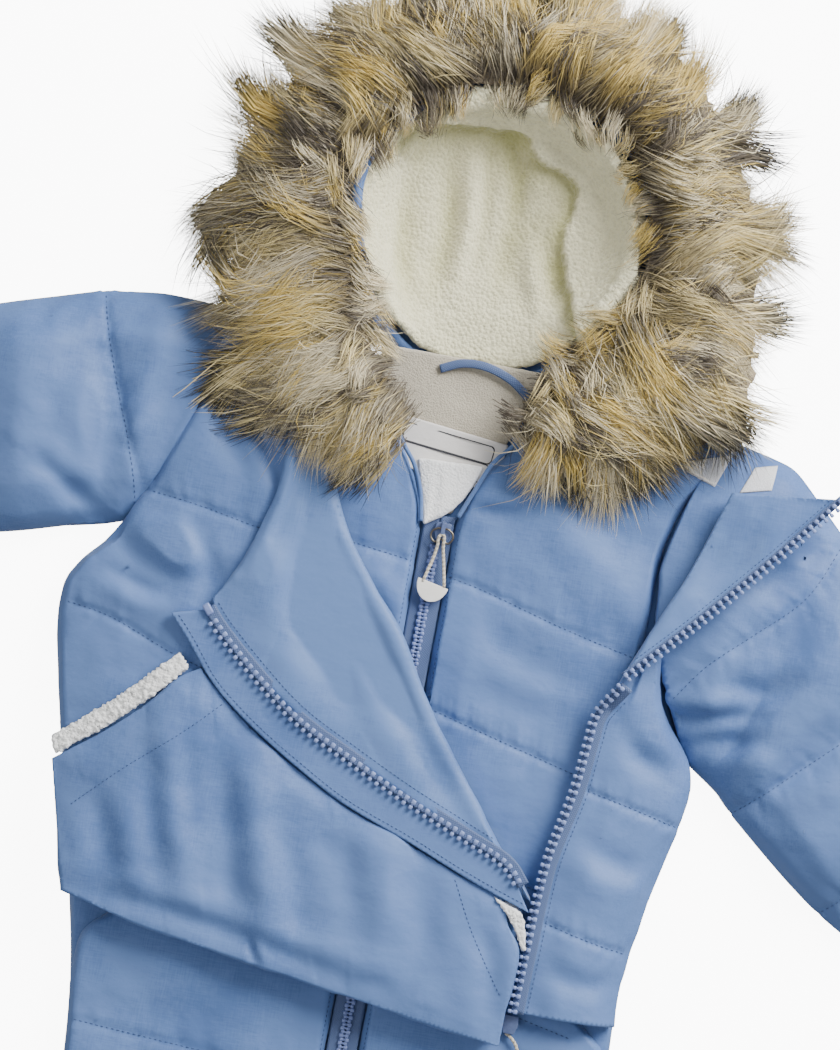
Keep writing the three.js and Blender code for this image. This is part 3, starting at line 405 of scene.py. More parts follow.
centreCordSet = {
    "route": [
        (-6.2, -41.6, 19.6), (-5.4, -39.2, 20.4), (-4.2, -34, 19.9), (-2.6, -28, 19.3), (-1.7, -23, 19.3),
        (-1.2, -18, 19.4), (-1.4, -15, 20.2), (-0.6, -12.4, 20.6), (0.7, -11.6, 20.7), (1.8, -12.6, 20.6),
        (2.2, -15, 20.2), (2.3, -18, 19.4), (3.2, -23, 19.3), (4.3, -28, 19.3), (5.6, -34, 19.9),
        (6.8, -40, 20.4), (7.2, -42.8, 19.6),
    ],
    "thick": 2.0,
}
outerCordSet = {
    "route": [
        (92, -298.6, 23.2), (95.5, -300.6, 23.2), (99.6, -305, 23.2), (101.6, -311, 23.2), (99, -317.5, 23.2),
        (91.5, -320.3, 23.2),
    ],
    "thick": 2.0,
}


def lengthOf(points):
    return sum((b - a).length for a, b in zip(points[:-1], points[1:]))


# A round cord of even thickness along a smooth route, with its length in its UVs
def cordAlong(name, route, thick, material, body, sides=10, steps=60):
    flat = curved([p[:2] for p in route], steps)
    knots = range(len(route))
    heights = np.interp(np.linspace(0, len(route) - 1, steps), knots, [p[2] for p in route])
    centres = [place(x, y, z) for (x, y), z in zip(flat, heights)]
    bm = bmesh.new()
    layer = bm.loops.layers.uv.new("UVMap")
    rings = []
    for index, centre in enumerate(centres):
        ahead = centres[min(index + 1, steps - 1)] - centres[max(index - 1, 0)]
        side = ahead.normalized().cross(Vector((0, 0, 1))).normalized()
        turn = Matrix((side, Vector((0, 0, 1)), ahead.normalized())).transposed().to_4x4()
        circle = bmesh.ops.create_circle(bm, cap_ends=False, segments=sides, radius=thick / 2000)["verts"]
        bmesh.ops.transform(bm, matrix=Matrix.Translation(centre) @ turn, verts=circle)
        rings.append(circle)
    travelled = 0.0
    for index, (here, after) in enumerate(zip(rings[:-1], rings[1:])):
        step = (centres[index + 1] - centres[index]).length
        for k in range(sides):
            corners = [here[k], here[(k + 1) % sides], after[(k + 1) % sides], after[k]]
            face = bm.faces.new(corners)
            around = thick / 1000 * math.pi / sides
            for loop, (u, v) in zip(face.loops, ((k, 0), (k + 1, 0), (k + 1, step), (k, step))):
                loop[layer].uv = (u * around, travelled + v)
        travelled += step
    bm.faces.new(rings[0][::-1])
    bm.faces.new(rings[-1])
    bmesh.ops.recalc_face_normals(bm, faces=bm.faces)
    return newPiece(name, bm, material, body), centres


centreCord, centreRoute = cordAlong(
    "centrePullCord", centreCordSet["route"], centreCordSet["thick"], cordMaterial, "pull",
)
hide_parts("pull_cord")
outerCord, outerRoute = cordAlong(
    "outerPullCord", outerCordSet["route"], outerCordSet["thick"], cordMaterial, "suit",
)
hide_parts("outer_pull_cord")
print("cords", round(lengthOf(centreRoute), 4), round(lengthOf(outerRoute), 4))


# Padded cloth: a fine skin over the panel's solid, its edges kept, drawn in at the seams and creased along listed
# folds
def evenSkin(name, node, step, material, rounds=8, understep=9.0):
    bm = bmesh.new()
    bm.from_mesh(nodes[node].data)
    bmesh.ops.remove_doubles(bm, verts=bm.verts, dist=1e-6)
    for edge in bm.edges:
        edge.seam = edge.calc_face_angle(0) > 0.75
    for _ in range(6):
        wanted = []
        for edge in bm.edges:
            under = all(face.normal.z < -0.5 for face in edge.link_faces)
            if edge.calc_length() > (understep if under else step) * 0.00125:
                wanted.append(edge)
        if not wanted:
            break
        bmesh.ops.subdivide_edges(bm, edges=wanted, cuts=1)
        bmesh.ops.triangulate(bm, faces=[face for face in bm.faces if len(face.verts) > 3])
        bm.normal_update()
    bm.verts.index_update()
    links = np.array([[edge.verts[0].index, edge.verts[1].index] for edge in bm.edges])
    rim = np.array([edge.seam for edge in bm.edges])
    for edge in bm.edges:
        edge.seam = False
    piece = newPiece(name, bm, material)
    points, normals = readPoints(piece.data)
    rimCount = np.bincount(links[rim].ravel(), minlength=len(points))
    useRim = rimCount == 2
    free = rimCount <= 1
    for _ in range(rounds):
        whole, wholeCount = np.zeros_like(points), np.zeros(len(points))
        edged, edgedCount = np.zeros_like(points), np.zeros(len(points))
        for one, other in ((0, 1), (1, 0)):
            np.add.at(whole, links[:, one], points[links[:, other]])
            np.add.at(wholeCount, links[:, one], 1)
            np.add.at(edged, links[rim][:, one], points[links[rim][:, other]])
            np.add.at(edgedCount, links[rim][:, one], 1)
        points[free] += 0.5 * (whole[free] / wholeCount[free, None] - points[free])
        points[useRim] += 0.5 * (edged[useRim] / edgedCount[useRim, None] - points[useRim])
    writePoints(piece.data, points)
    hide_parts(node)
    return piece


paddingSet = {"seamDeep": 1.35, "seamWide": 2.4, "underShare": 0.5}


def shapeCloth(piece, settings, seed):
    points, normals = readPoints(piece.data)
    x, y = planOf(points)
    upward = np.clip(normals[:, 2] * 2.5, 0, 1)
    move = np.zeros(len(x))
    deep, wide, pucker = paddingSet["seamDeep"], paddingSet["seamWide"], settings.get("pucker", 1.0)
    for index, line in enumerate(settings.get("seams", ())):
        move += seamPull(x, y, curved(line, 14), seed + index, deep, wide, pucker)
    for line, wide, deep in settings.get("folds", ()):
        move += upward * foldShape(x, y, curved(line, 14), wide, deep * settings.get("gain", 1.7))
    move += upward * unevenness(points, seed, 24.0, settings.get("broad", 2.0))
    move += upward * unevenness(points, seed + 3, 62.0, settings.get("small", 0.8))
    move = np.clip(move, settings.get("least", -9.0), settings.get("most", 2.4))
    under = normals[:, 2] < -0.6
    move[under] = np.minimum(move[under], 0) * paddingSet["underShare"]
    writePoints(piece.data, points + normals * (move / 1000)[:, None])


# Seams are lines of plan points. Folds are (line, width, depth), and a minus turns a fold round.
panelSet = {
    "back_panel": {"voxel": 8.6,
        "seams": [
            [(-178, 2), (-60, -4), (60, -6), (150, -2)],
            [(-214, -80), (-60, -84), (60, -86), (160, -80)],
            [(-206, -158), (-60, -164), (60, -164), (172, -156)],
            [(-188, -238), (-60, -244), (60, -244), (160, -236)],
            [(-174, -318), (-60, -322), (60, -322), (158, -316)],
        ],
        "folds": []},
    "inner_front_left": {"voxel": 3.3,
        "seams": [
            [(-148, -20), (-53, -26), (-11, -31)],
            [(-150, -98), (-60, -104), (-11, -109)],
            [(-150, -176), (-60, -182), (-11, -187)],
            [(-150, -255), (-60, -260), (-11, -265)],
            [(-168, -338), (-98, -342), (-11, -346)],
        ],
        "folds": [
            ([(-40, -45), (-26, -70), (-22, -100)], 7, 1.6),
        ]},
    "inner_front_right": {"voxel": 2.8,
        "seams": [
            [(8, -36), (29, -40), (82, -54), (132, -65)],
            [(8, -115), (44, -124), (72, -131), (132, -146)],
            [(8, -192), (60, -204), (132, -220)],
            [(8, -270), (60, -281), (132, -296)],
            [(8, -347), (80, -362), (156, -377)],
        ],
        "folds": [
            ([(14, 6), (30, 7), (44, 10), (52, 17), (56, 26)], 5, 2.2),
            ([(20, -50), (52, -72), (90, -86), (118, -86)], 12, 1.5),
            ([(60, 44), (84, 20), (112, 2), (136, -8)], 14, -1.8),
            ([(28, -92), (60, -104), (104, -110)], 10, 1.2),
        ]},
    "outer_front_left": {"voxel": 2.7, "gain": 2.2, "most": 2.3,
        "seams": [
            [(-182, -17), (-146, -21), (-106, -28), (-80, -31)],
            [(-214, -92), (-187, -96), (-148, -110), (-120, -118)],
        ],
        "folds": [
            ([(-162, 60), (-140, 30), (-122, 4)], 9, 2.0),
            ([(-126, 44), (-112, 20), (-100, 0)], 6, 2.8),
            ([(-200, -40), (-176, -58), (-150, -66), (-120, -60)], 10, 2.2),
            ([(-196, -66), (-170, -76), (-150, -78)], 6, -1.6),
            ([(-150, -30), (-136, -50), (-130, -70)], 8, -1.8),
        ]},
    "turned_facing": {"voxel": 2.2, "broad": 2.6, "least": -2.0, "most": 4.0, "small": 0.6, "gain": 2.0,
        "seams": [],
        "folds": [
            ([(-88, 30), (-76, -10), (-74, -50), (-84, -86)], 14, -2.4),
            ([(-60, -24), (-46, -60), (-20, -100), (4, -132)], 12, 2.0),
            ([(-100, -20), (-84, -40), (-60, -90), (-30, -130)], 13, -1.8),
            ([(-34, -66), (-8, -110), (30, -160), (60, -190)], 9, -1.4),
            ([(-102, 40), (-100, 2), (-107, -26), (-115, -54)], 3.5, 1.6),
            ([(-94, 34), (-92, 4), (-98, -30)], 4, -1.2),
        ]},
    "storm_flap": {"voxel": 1.8, "broad": 0.5, "small": 0.25, "most": 0.8,
        "seams": [],
        "folds": []},
    "pouch_pocket": {"voxel": 2.4, "broad": 3.0, "small": 0.9, "most": 4.0, "gain": 1.9,
        "seams": [],
        "folds": [
            ([(-150, -160), (-140, -200), (-124, -256)], 12, 2.4),
            ([(-109, -158), (-98, -200), (-76, -264)], 12, 2.3),
            ([(-71, -164), (-60, -200), (-34, -266)], 11, -1.9),
            ([(-128, -150), (-120, -190), (-104, -240)], 9, -1.8),
            ([(-70, -270), (-66, -277), (-61, -284)], 3, 1.2),
            ([(-180, -200), (-166, -226), (-160, -255)], 10, 2.0),
            ([(-30, -196), (-16, -228), (-10, -262)], 13, 1.9),
            ([(20, -210), (30, -240), (36, -275)], 12, -1.7),
            ([(-190, -256), (-120, -262), (-40, -276), (30, -288)], 7, 1.5),
            ([(66, -236), (76, -262), (80, -290)], 8, 1.6),
        ]},
    "side_front_right": {"voxel": 2.2,
        "seams": [
            [(110, -146), (140, -152), (173, -160)],
            [(99, -228), (125, -234), (155, -240)],
        ],
        "folds": [
            ([(126, -100), (138, -118), (160, -130)], 8, 2.0),
            ([(112, -170), (134, -186), (160, -190)], 9, -1.6),
            ([(108, -256), (130, -262), (150, -258)], 7, 1.4),
        ]},
    "lapel_right": {"voxel": 2.2, "broad": 1.8, "most": 2.2,
        "seams": [],
        "folds": [
            ([(170, 40), (164, 10), (150, -20)], 8, -1.6),
            ([(186, 30), (176, 4), (160, -22)], 8, 1.4),
        ]},
    "sleeve_left": {"voxel": 3.0, "pucker": 1.15,
        "seams": [
            [(-226, 97), (-217, 67), (-204, 32), (-195, 10), (-185, -28), (-190, -42)],
            [(-301, 74), (-290, 30), (-276, -30), (-270, -66)],
            [(-367, 48), (-360, 10), (-348, -40), (-344, -70)],
        ],
        "folds": [
            ([(-216, 60), (-204, 20), (-198, -14)], 10, -1.8),
            ([(-236, 60), (-240, 20), (-226, -20)], 12, 2.2),
            ([(-166, 84), (-176, 50), (-184, 12)], 9, 2.0),
            ([(-250, -10), (-222, -26), (-206, -38)], 7, 2.4),
            ([(-330, 40), (-318, 0), (-312, -40)], 10, 2.0),
        ]},
    "sleeve_right": {"voxel": 3.0, "pucker": 1.15,
        "seams": [
            [(154, -84), (171, -60), (195, -37), (222, -10), (240, 28)],
            [(201, -147), (222, -127), (260, -90), (300, -50)],
            [(264, -197), (300, -160), (348, -116)],
        ],
        "folds": [
            ([(158, -98), (178, -92), (204, -84)], 6, 2.8),
            ([(170, -112), (192, -104), (216, -98)], 7, -2.2),
            ([(186, -70), (206, -70), (232, -58)], 8, 2.0),
            ([(180, -20), (206, 0), (228, 26)], 9, -1.8),
            ([(236, -150), (262, -130), (290, -96)], 9, 1.8),
        ]},
    "leg_left": {"voxel": 4.5,
        "seams": [
            [(-166, -418), (-90, -420), (-11, -418)],
            [(-164, -496), (-90, -498), (-29, -496)],
            [(-157, -574), (-90, -576), (-43, -574)],
        ],
        "folds": [
            ([(-120, -440), (-90, -456), (-50, -450)], 9, 1.8),
        ]},
    "leg_right": {"voxel": 4.5,
        "seams": [
            [(3, -418), (80, -420), (158, -418)],
            [(21, -496), (80, -498), (156, -496)],
            [(35, -574), (80, -576), (149, -574)],
        ],
        "folds": [
            ([(50, -522), (80, -536), (120, -530)], 9, 1.8),
        ]},
    "hood_shell": {"voxel": 4.5, "broad": 0.8,
        "seams": [],
        "folds": []},
}
panels = {}
for index, (node, settings) in enumerate(panelSet.items()):
    words = node.split("_")
    name = words[0] + "".join(w.capitalize() for w in words[1:]) + "Cloth"
    material = facingCloth if node in ("turned_facing", "lapel_right") else shellCloth
    panels[node] = evenSkin(name, node, settings["voxel"], material)
    shapeCloth(panels[node], settings, 11 + 7 * index)
print("cloth panels", sum(len(p.data.polygons) for p in panels.values()), "triangles")

for node in ("cuff_left", "cuff_right", "ankle_cuff_left", "ankle_cuff_right"):
    words = node.split("_")
    cuff = evenSkin(words[0] + "".join(w.capitalize() for w in words[1:]) + "Knit", node, 2.2, cuffKnit, 4)


# A soft closed skin of even cells, for pile that has no crisp edge
def pileSkin(name, node, voxel, material, rounds=2):
    bm = bmesh.new()
    bm.from_mesh(nodes[node].data)
    bmesh.ops.remove_doubles(bm, verts=bm.verts, dist=1e-6)
    piece = newPiece(name, bm, material)
    even = piece.modifiers.new("even", "REMESH")
    even.mode, even.voxel_size = "VOXEL", voxel / 1000
    soft = piece.modifiers.new("soft", "SMOOTH")
    soft.factor, soft.iterations = 0.5, rounds
    settle(piece)
    piece.data.polygons.foreach_set("use_smooth", [True] * len(piece.data.polygons))
    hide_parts(node)
    return piece


# Fleece: the hood's lining, the neck facing, the chin guard and the trims in the pouch's mouths
hoodMiddle = 170
fleeceSet = {
    "hood_lining": {
        "name": "hoodSherpaLining", "voxel": 2.3, "material": sherpaMaterial, "lump": 1.5, "size": 210.0,
        "folds": [
            ([(-34, 216), (-28, 169), (-32, 125)], 8, 5.0),
            ([(-4, 234), (10, 194), (8, 139)], 9, 5.6),
            ([(30, 206), (26, 179), (40, 139)], 7, -5.0),
            ([(-58, 200), (-56, 160), (-46, 120)], 8, -4.0),
            ([(-14, 222), (-10, 180), (-12, 140)], 6, -4.4),
            ([(22, 200), (18, 160), (24, 124)], 6, 3.6),
        ]},
    "neck_facing": {
        "name": "neckFleeceFacing", "voxel": 1.3, "material": fleeceMaterial, "lump": 0.4, "size": 300.0,
        "folds": [([(-20, 80), (4, 72), (30, 74)], 7, 0.8)]},
    "chin_guard": {
        "name": "chinGuardFleece", "voxel": 1.1, "material": guardMaterial, "lump": 0.35, "size": 260.0,
        "folds": [([(-10, 28), (-8, 12), (-8, -4)], 3, 0.7)]},
    "mouth_trim_left": {
        "name": "leftMouthSherpa", "voxel": 0.9, "material": trimMaterial, "lump": 2.2, "size": 330.0,
        "folds": []},
    "mouth_trim_right": {
        "name": "rightMouthSherpa", "voxel": 0.7, "material": trimMaterial, "lump": 1.8, "size": 330.0,
        "folds": []},
}

# The lining's free edge: raised beyond this line, with a painted shadow on the pile inside it
rimSet = {
    "line": [(-78, 214), (-54, 230), (-22, 235), (8, 234), (14, 222), (41, 211), (40, 172), (52, 140), (60, 116)],
    "high": 6.5, "slope": 5, "outer": 86, "uneven": 3.0, "shadowWide": 15, "shadow": 0.75, "none": 200,
}
neckStretch = {"from": 72, "over": 14, "by": 0.009}
rightMouth = {"anchor": (92, -241), "heading": (-0.752, 0.658), "grow": 1.5, "longer": 0.75, "under": 0.0055}


# How far each place lies beyond the lining's edge, and where that edge exists
def beyondRim(points, x, y):
    rimX, rimY = np.array(curved(rimSet["line"], 60)).T
    rimBearing = np.unwrap(np.arctan2(rimY - hoodMiddle, rimX))
    rimOut, none = np.hypot(rimX, rimY - hoodMiddle), rimSet["none"]
    bearing = np.arctan2(y - hoodMiddle, x)
    reach = np.hypot(x, y - hoodMiddle)
    rimReach = np.interp(bearing, rimBearing[::-1], rimOut[::-1], left=none, right=none)
    beyond = reach - rimReach + unevenness(points, 77, 90.0, rimSet["uneven"])
    return beyond, reach, rimReach < none - 10


fleeces = {}
for index, (node, settings) in enumerate(fleeceSet.items()):
    fleece = pileSkin(settings["name"], node, settings["voxel"], settings["material"], 2)
    points, normals = readPoints(fleece.data)
    x, y = planOf(points)
    upward = np.clip(normals[:, 2] * 2, 0, 1)
    move = 0.35 * settings["lump"] * unevenness(points, 3 + index, 60.0, 1.0)
    for line, wide, deep in settings["folds"]:
        move += upward * foldShape(x, y, curved(line, 14), wide, deep)
    if node == "hood_lining":
        beyond, reach, edged = beyondRim(points, x, y)
        raised = np.clip(beyond / rimSet["slope"] + 0.5, 0, 1) * (reach < rimSet["outer"]) * edged
        move += upward * rimSet["high"] * raised
        # Painted shade: a painted shadow just inside the raised edge, painted shade in the fold troughs, and a
        # small even share everywhere
        deep = np.clip(np.exp(np.minimum(beyond + 2, 0) / rimSet["shadowWide"]) * (beyond < 1), 0, 1) * edged
        shade = np.clip(rimSet["shadow"] * deep + 0.13 * np.clip(-move, 0, 6) + 0.10, 0, 1)
        paintedShadeLayer = fleece.data.attributes.new("shade", "FLOAT", "POINT")
        paintedShadeLayer.data.foreach_set("value", shade.astype(np.float32))
    if node == "neck_facing":
        points[:, 1] += neckStretch["by"] * np.clip((y - neckStretch["from"]) / neckStretch["over"], 0, 1)
    if node == "mouth_trim_right":  # the lens runs on and in under the storm flap
        anchor, heading = np.array(place(*rightMouth["anchor"], 0))[:2], np.array(rightMouth["heading"])
        lying = points[:, :2] - anchor
        ahead = lying @ heading
        points[:, :2] = anchor + rightMouth["grow"] * lying + np.outer(ahead * rightMouth["longer"], heading)
        x, y = planOf(points)
        points[:, 2] -= rightMouth["under"] * np.clip((y + 215.5 + (x - 60) * 0.33) / 1.5, 0, 1)
    curl = unevenness(points, 30 + index, settings["size"], 1.0)
    move += settings["lump"] * (np.abs(curl) ** 0.8 - 0.25) * (normals[:, 2] > -0.5)
    writePoints(fleece.data, points + normals * (move / 1000)[:, None])
    fleeces[node] = fleece
print("fleece pieces", sum(len(p.data.polygons) * 2 for p in fleeces.values()), "triangles")

# Fur round the face: a soft band under locks of long tapering hairs
furSet = {
    "rows": [  # inner x and y, outer x and y of the band
        (-40, 61, -52, 15), (-50, 82, -101, 33), (-61, 102, -132, 64), (-71, 125, -154, 103),
        (-83, 158, -171, 150), (-87, 190, -164, 196), (-77, 217, -144, 242), (-55, 237, -106, 292),
        (-28, 250, -52, 318), (8, 255, 15, 325), (40, 250, 75, 312), (66, 234, 115, 279),
        (81, 205, 149, 230), (85, 175, 163, 177), (80, 142, 164, 121), (63, 119, 140, 88),
        (50, 103, 120, 64), (43, 89, 104, 37), (38, 79, 60, 40),
    ],
    "clumpRows": [
        {"count": 46, "across": 0.25, "long": 1.02, "inward": 0, "dark": 0.4, "full": 1.0},
        {"count": 42, "across": 0.50, "long": 0.72, "inward": 0, "dark": 0.5, "full": 1.0},
        {"count": 26, "across": 0.16, "long": 1.18, "inward": 0, "dark": 0.6, "full": 0.9},
        {"count": 34, "across": 0.52, "long": 0.98, "inward": 0, "dark": 1.0, "full": 0.62},
        {"count": 44, "across": 0.10, "long": 0.32, "inward": 1, "dark": 0.3, "full": 0.8}],
    "locks": 1780, "hairs": 40, "clumpWide": 7.4, "closing": 0.66, "gather": 0.56, "guardShare": 0.15,
    "tones": [0.34, 0.2, 0.24, 0.22], "perPiece": 26500, "wide": 0.42, "sink": 6.0, "outerSink": 16.0, "top": 330,
    "paintedRootShade": (0.075, 0.06, 0.045), "cream": (0.90, 0.79, 0.53), "gold": (0.86, 0.63, 0.17),
    "straw": (0.88, 0.72, 0.34), "grey": (0.17, 0.14, 0.10), "black": (0.010, 0.009, 0.008),
}
furBand = pileSkin("furBackingBand", "fur_trim", 4.6, shellCloth, 2)
furTree = treeOf(furBand)
points, normals = readPoints(furBand.data)
x, y = planOf(points)
sinking = np.full((len(points), 3), furSet["sink"])
outside = normals[:, 0] * x + normals[:, 1] * (y - hoodMiddle) > 0
sinking[outside, :2] = furSet["outerSink"]
points = points - normals * sinking / 1000
points[:, 2] = np.maximum(points[:, 2], 0.0002)
writePoints(furBand.data, points)

# The shell's edge shows as a narrow roll between the fur and the lining, on the left
rollSet = {"rows": slice(2, 8), "inside": 0.995, "height": 34.0, "thick": 7.0}
rollLine = [
    (a * rollSet["inside"], hoodMiddle + (b - hoodMiddle) * rollSet["inside"], rollSet["height"])
    for a, b, _, _ in furSet["rows"][rollSet["rows"]]
]
rimFold, _ = cordAlong("hoodRimFold", rollLine, rollSet["thick"], shellCloth, "suit", 12, 60)
furMaterial, tree, shader = newMaterial(
    "longPileFur", (0.5, 0.42, 0.3), 0.5, Specular_IOR_Level=0.35, Sheen_Weight=0.15,
)
tone = addNode(tree, "Attribute", attribute_name="tone").outputs["Color"]
streaks = mixed(tree, grain(tree, 40.0), grain(tree, 700.0), "MULTIPLY")
shade = addNode(tree, "MixRGB", {"Color1": tone, "Fac": streaks}, blend_type="MULTIPLY")
shade.inputs["Color2"].default_value = (0.8, 0.76, 0.7, 1)
tree.links.new(shade.outputs["Color"], shader.inputs["Base Color"])
underFur, tree, shader = newMaterial("shortUnderFur", (0.2, 0.165, 0.13), 0.9)
tinted(tree, shader, grain(tree, 150.0, stretch=(1, 3, 1)), (0.13, 0.105, 0.085), (0.36, 0.29, 0.19))
bumped(tree, shader, (grain(tree, 900.0), 0.0006))
furBand.data.materials[0] = underFur

chance = np.random.default_rng(41)
bandRows = np.array(furSet["rows"], float)
rowCount = len(bandRows)


def bandPoint(roundShare, across):
    where = np.clip(roundShare, 0, rowCount - 1)
    inner = np.stack([np.interp(where, range(rowCount), bandRows[:, k]) for k in (0, 1)], axis=-1)
    outer = np.stack([np.interp(where, range(rowCount), bandRows[:, k]) for k in (2, 3)], axis=-1)
    return inner + (outer - inner) * across[..., None], outer - inner


# Clumps: large tufts whose locks lean together towards a pointed end
clumpRows = furSet["clumpRows"]
clumpKind = np.repeat(range(len(clumpRows)), [row["count"] for row in clumpRows])
clumpCount = len(clumpKind)
clumpRound = np.concatenate([np.linspace(-0.15, rowCount - 0.85, row["count"]) for row in clumpRows])
clumpRound += chance.normal(0, 0.12, clumpCount)
clumpAcross = np.array([row["across"] for row in clumpRows])[clumpKind] + chance.normal(0, 0.035, clumpCount)
clumpRoot, clumpOut = bandPoint(clumpRound, clumpAcross)
bandWide = np.linalg.norm(clumpOut, axis=1)
fromCrown = clumpRound - (rowCount - 1) / 2
inwardClump = np.array([row["inward"] for row in clumpRows])[clumpKind] * (np.abs(fromCrown) < 7.3)
throatward = np.where(fromCrown < 0, 1.0, -1.0) * np.clip(np.abs(fromCrown) / 3, 0, 1)
clumpHeading = np.arctan2(clumpOut[:, 1], clumpOut[:, 0]) + chance.normal(0, 0.24, clumpCount)
clumpHeading += 0.4 * wander(clumpRound * 10, 5, 9.0)
clumpHeading += inwardClump * (math.pi - 0.75 * throatward)
clumpLong = bandWide * np.array([row["long"] for row in clumpRows])[clumpKind]
clumpLong = np.clip(clumpLong * chance.uniform(0.8, 1.24, clumpCount), 20, 104)
clumpBend = chance.normal(0, 0.32, clumpCount)
clumpWave = chance.normal(0, 0.34, clumpCount)
clumpTone = chance.choice(4, clumpCount, p=furSet["tones"])
clumpDark = chance.random(clumpCount) < np.array([row["dark"] for row in clumpRows])[clumpKind]
clumpLift = chance.uniform(-2.5, 4.5, clumpCount)
along = np.array([0.0, 0.24, 0.5, 0.76, 1.0])
stepLong = np.diff(along, prepend=0.0)
clumpLine = clumpHeading[:, None] + clumpBend[:, None] * along[None, :] ** 1.3 \
    + clumpWave[:, None] * np.sin(math.pi * 1.7 * along[None, :])
clumpX = np.cumsum(clumpLong[:, None] * stepLong * np.cos(clumpLine), axis=1)
clumpY = np.cumsum(clumpLong[:, None] * stepLong * np.sin(clumpLine), axis=1)

# Locks: each grows beside its clump's root, keeps the clump's course and closes in on its tip
lockCount = furSet["locks"]
clumpFull = clumpLong * np.array([row["full"] for row in clumpRows])[clumpKind]
clump = chance.choice(clumpCount, lockCount, p=clumpFull / clumpFull.sum())
spiky = clumpKind[clump] == 3
aside = chance.normal(0, 1, (lockCount, 2)) * furSet["clumpWide"] * np.where(spiky, 0.6, 1.0)[:, None]
outward = clumpOut[clump] / bandWide[clump][:, None]
ringward = np.stack([-outward[:, 1], outward[:, 0]], axis=1)
lockRoot = clumpRoot[clump] + outward * aside[:, :1] * 0.62 + ringward * aside[:, 1:]
guard = chance.random(lockCount) < furSet["guardShare"]
inward = inwardClump[clump] > 0
lockScale = chance.uniform(0.8, 1.08, lockCount) + 0.12 * guard - 0.012 * np.hypot(aside[:, 0], aside[:, 1])
lockTurn = chance.normal(0, 0.1, lockCount)
closing = 1 - np.where(spiky, 0.9, furSet["closing"])[:, None] * along[None, :] ** 1.25
baseX, baseY = clumpX[clump] * lockScale[:, None], clumpY[clump] * lockScale[:, None]
turnBy = lockTurn[:, None] * along[None, :]
awayX, awayY = lockRoot[:, :1] - clumpRoot[clump, :1], lockRoot[:, 1:] - clumpRoot[clump, 1:]
lockX = clumpRoot[clump, :1] + awayX * closing + baseX * np.cos(turnBy) - baseY * np.sin(turnBy)
lockY = clumpRoot[clump, 1:] + awayY * closing + baseX * np.sin(turnBy) + baseY * np.cos(turnBy)
lockLong = clumpLong[clump] * lockScale
lockHigh = np.zeros((lockCount, 5))
for index in range(lockCount):
    last = 40.0
    for step in range(5):
        high = heightOver(furTree, lockX[index, step], lockY[index, step])
        if high is None:
            high = max(last - 0.42 * lockLong[index] * stepLong[step], 4.0 + 3 * (1 - step / 4))
        lockHigh[index, step] = last = high
lockHigh[:, 1:4] = 0.5 * lockHigh[:, 1:4] + 0.25 * (lockHigh[:, :3] + lockHigh[:, 2:])
lockLift = clumpLift[clump] + chance.uniform(-1.2, 1.2, lockCount)
lockLift += np.where(guard, 2.0, 0) - np.where(inward, 1.5, 0)

hairs = furSet["hairs"]
perLock = np.where(guard, 12, hairs)
lock = np.repeat(np.arange(lockCount), perLock)
total = len(lock)
spread = chance.normal(0, 1, (total, 2)) * np.where(guard[lock], 5.0, 3.4)[:, None]
hairScale = chance.uniform(0.74, 1.06, total)
hairTurn = chance.normal(0, 0.06, total) + chance.normal(0, 0.4, total) * (chance.random(total) < 0.05)
gather = 1 - furSet["gather"] * along[None, :] ** 1.2
offX = (lockX - lockX[:, :1])[lock] * hairScale[:, None]
offY = (lockY - lockY[:, :1])[lock] * hairScale[:, None]
turnBy = hairTurn[:, None] * (0.5 + 0.8 * along[None, :])
hairX = lockRoot[lock, 0][:, None] + spread[:, :1] * gather + offX * np.cos(turnBy) - offY * np.sin(turnBy)
hairY = lockRoot[lock, 1][:, None] + spread[:, 1:] * gather + offX * np.sin(turnBy) + offY * np.cos(turnBy)
topLimit = furSet["top"]
hairY = np.where(hairY > topLimit, topLimit + 0.5 * (hairY - topLimit), hairY)
arch = np.array([-7.0, 0.5, 2.5, 1.8, 0.3])[None, :]
hairZ = lockHigh[lock] + arch + lockLift[lock][:, None] * np.sin(np.pi * along[None, :] * 0.85) \
    + chance.normal(0, 1.5, (total, 1)) * along[None, :] ** 0.7 + chance.normal(0, 0.45, (total, 5))
hairZ = np.clip(hairZ, 1.2, 69.0)
centre = np.stack([hairX / 1000 + neckPoint[0], hairY / 1000 + neckPoint[1], hairZ / 1000], axis=-1)
forward = np.gradient(centre, axis=1)
forward /= np.maximum(np.linalg.norm(forward, axis=2, keepdims=True), 1e-9)
flat = np.cross(forward, np.array([0, 0, 1.0]))
flat /= np.maximum(np.linalg.norm(flat, axis=2, keepdims=True), 1e-9)
roll = chance.uniform(-0.9, 0.9, total)[:, None, None]
sideways = flat * np.cos(roll) + np.cross(forward, flat) * np.sin(roll)
thin = np.where(guard[lock], 0.85, 1.0) * chance.uniform(0.7, 1.3, total)
thin = thin[:, None] * np.where(spiky[lock, None], [[1.0, 1.15, 1.55, 1.9]], 1.0)
width = furSet["wide"] / 2000 * np.array([1.0, 0.95, 0.82, 0.55])[None, :, None] * thin[:, :, None]
leftSide, rightSide = centre[:, :4] - sideways[:, :4] * width, centre[:, :4] + sideways[:, :4] * width
sides = np.stack([leftSide, rightSide], axis=2).reshape(total, 8, 3)
hairPoints = np.concatenate([sides, centre[:, 4:]], axis=1)
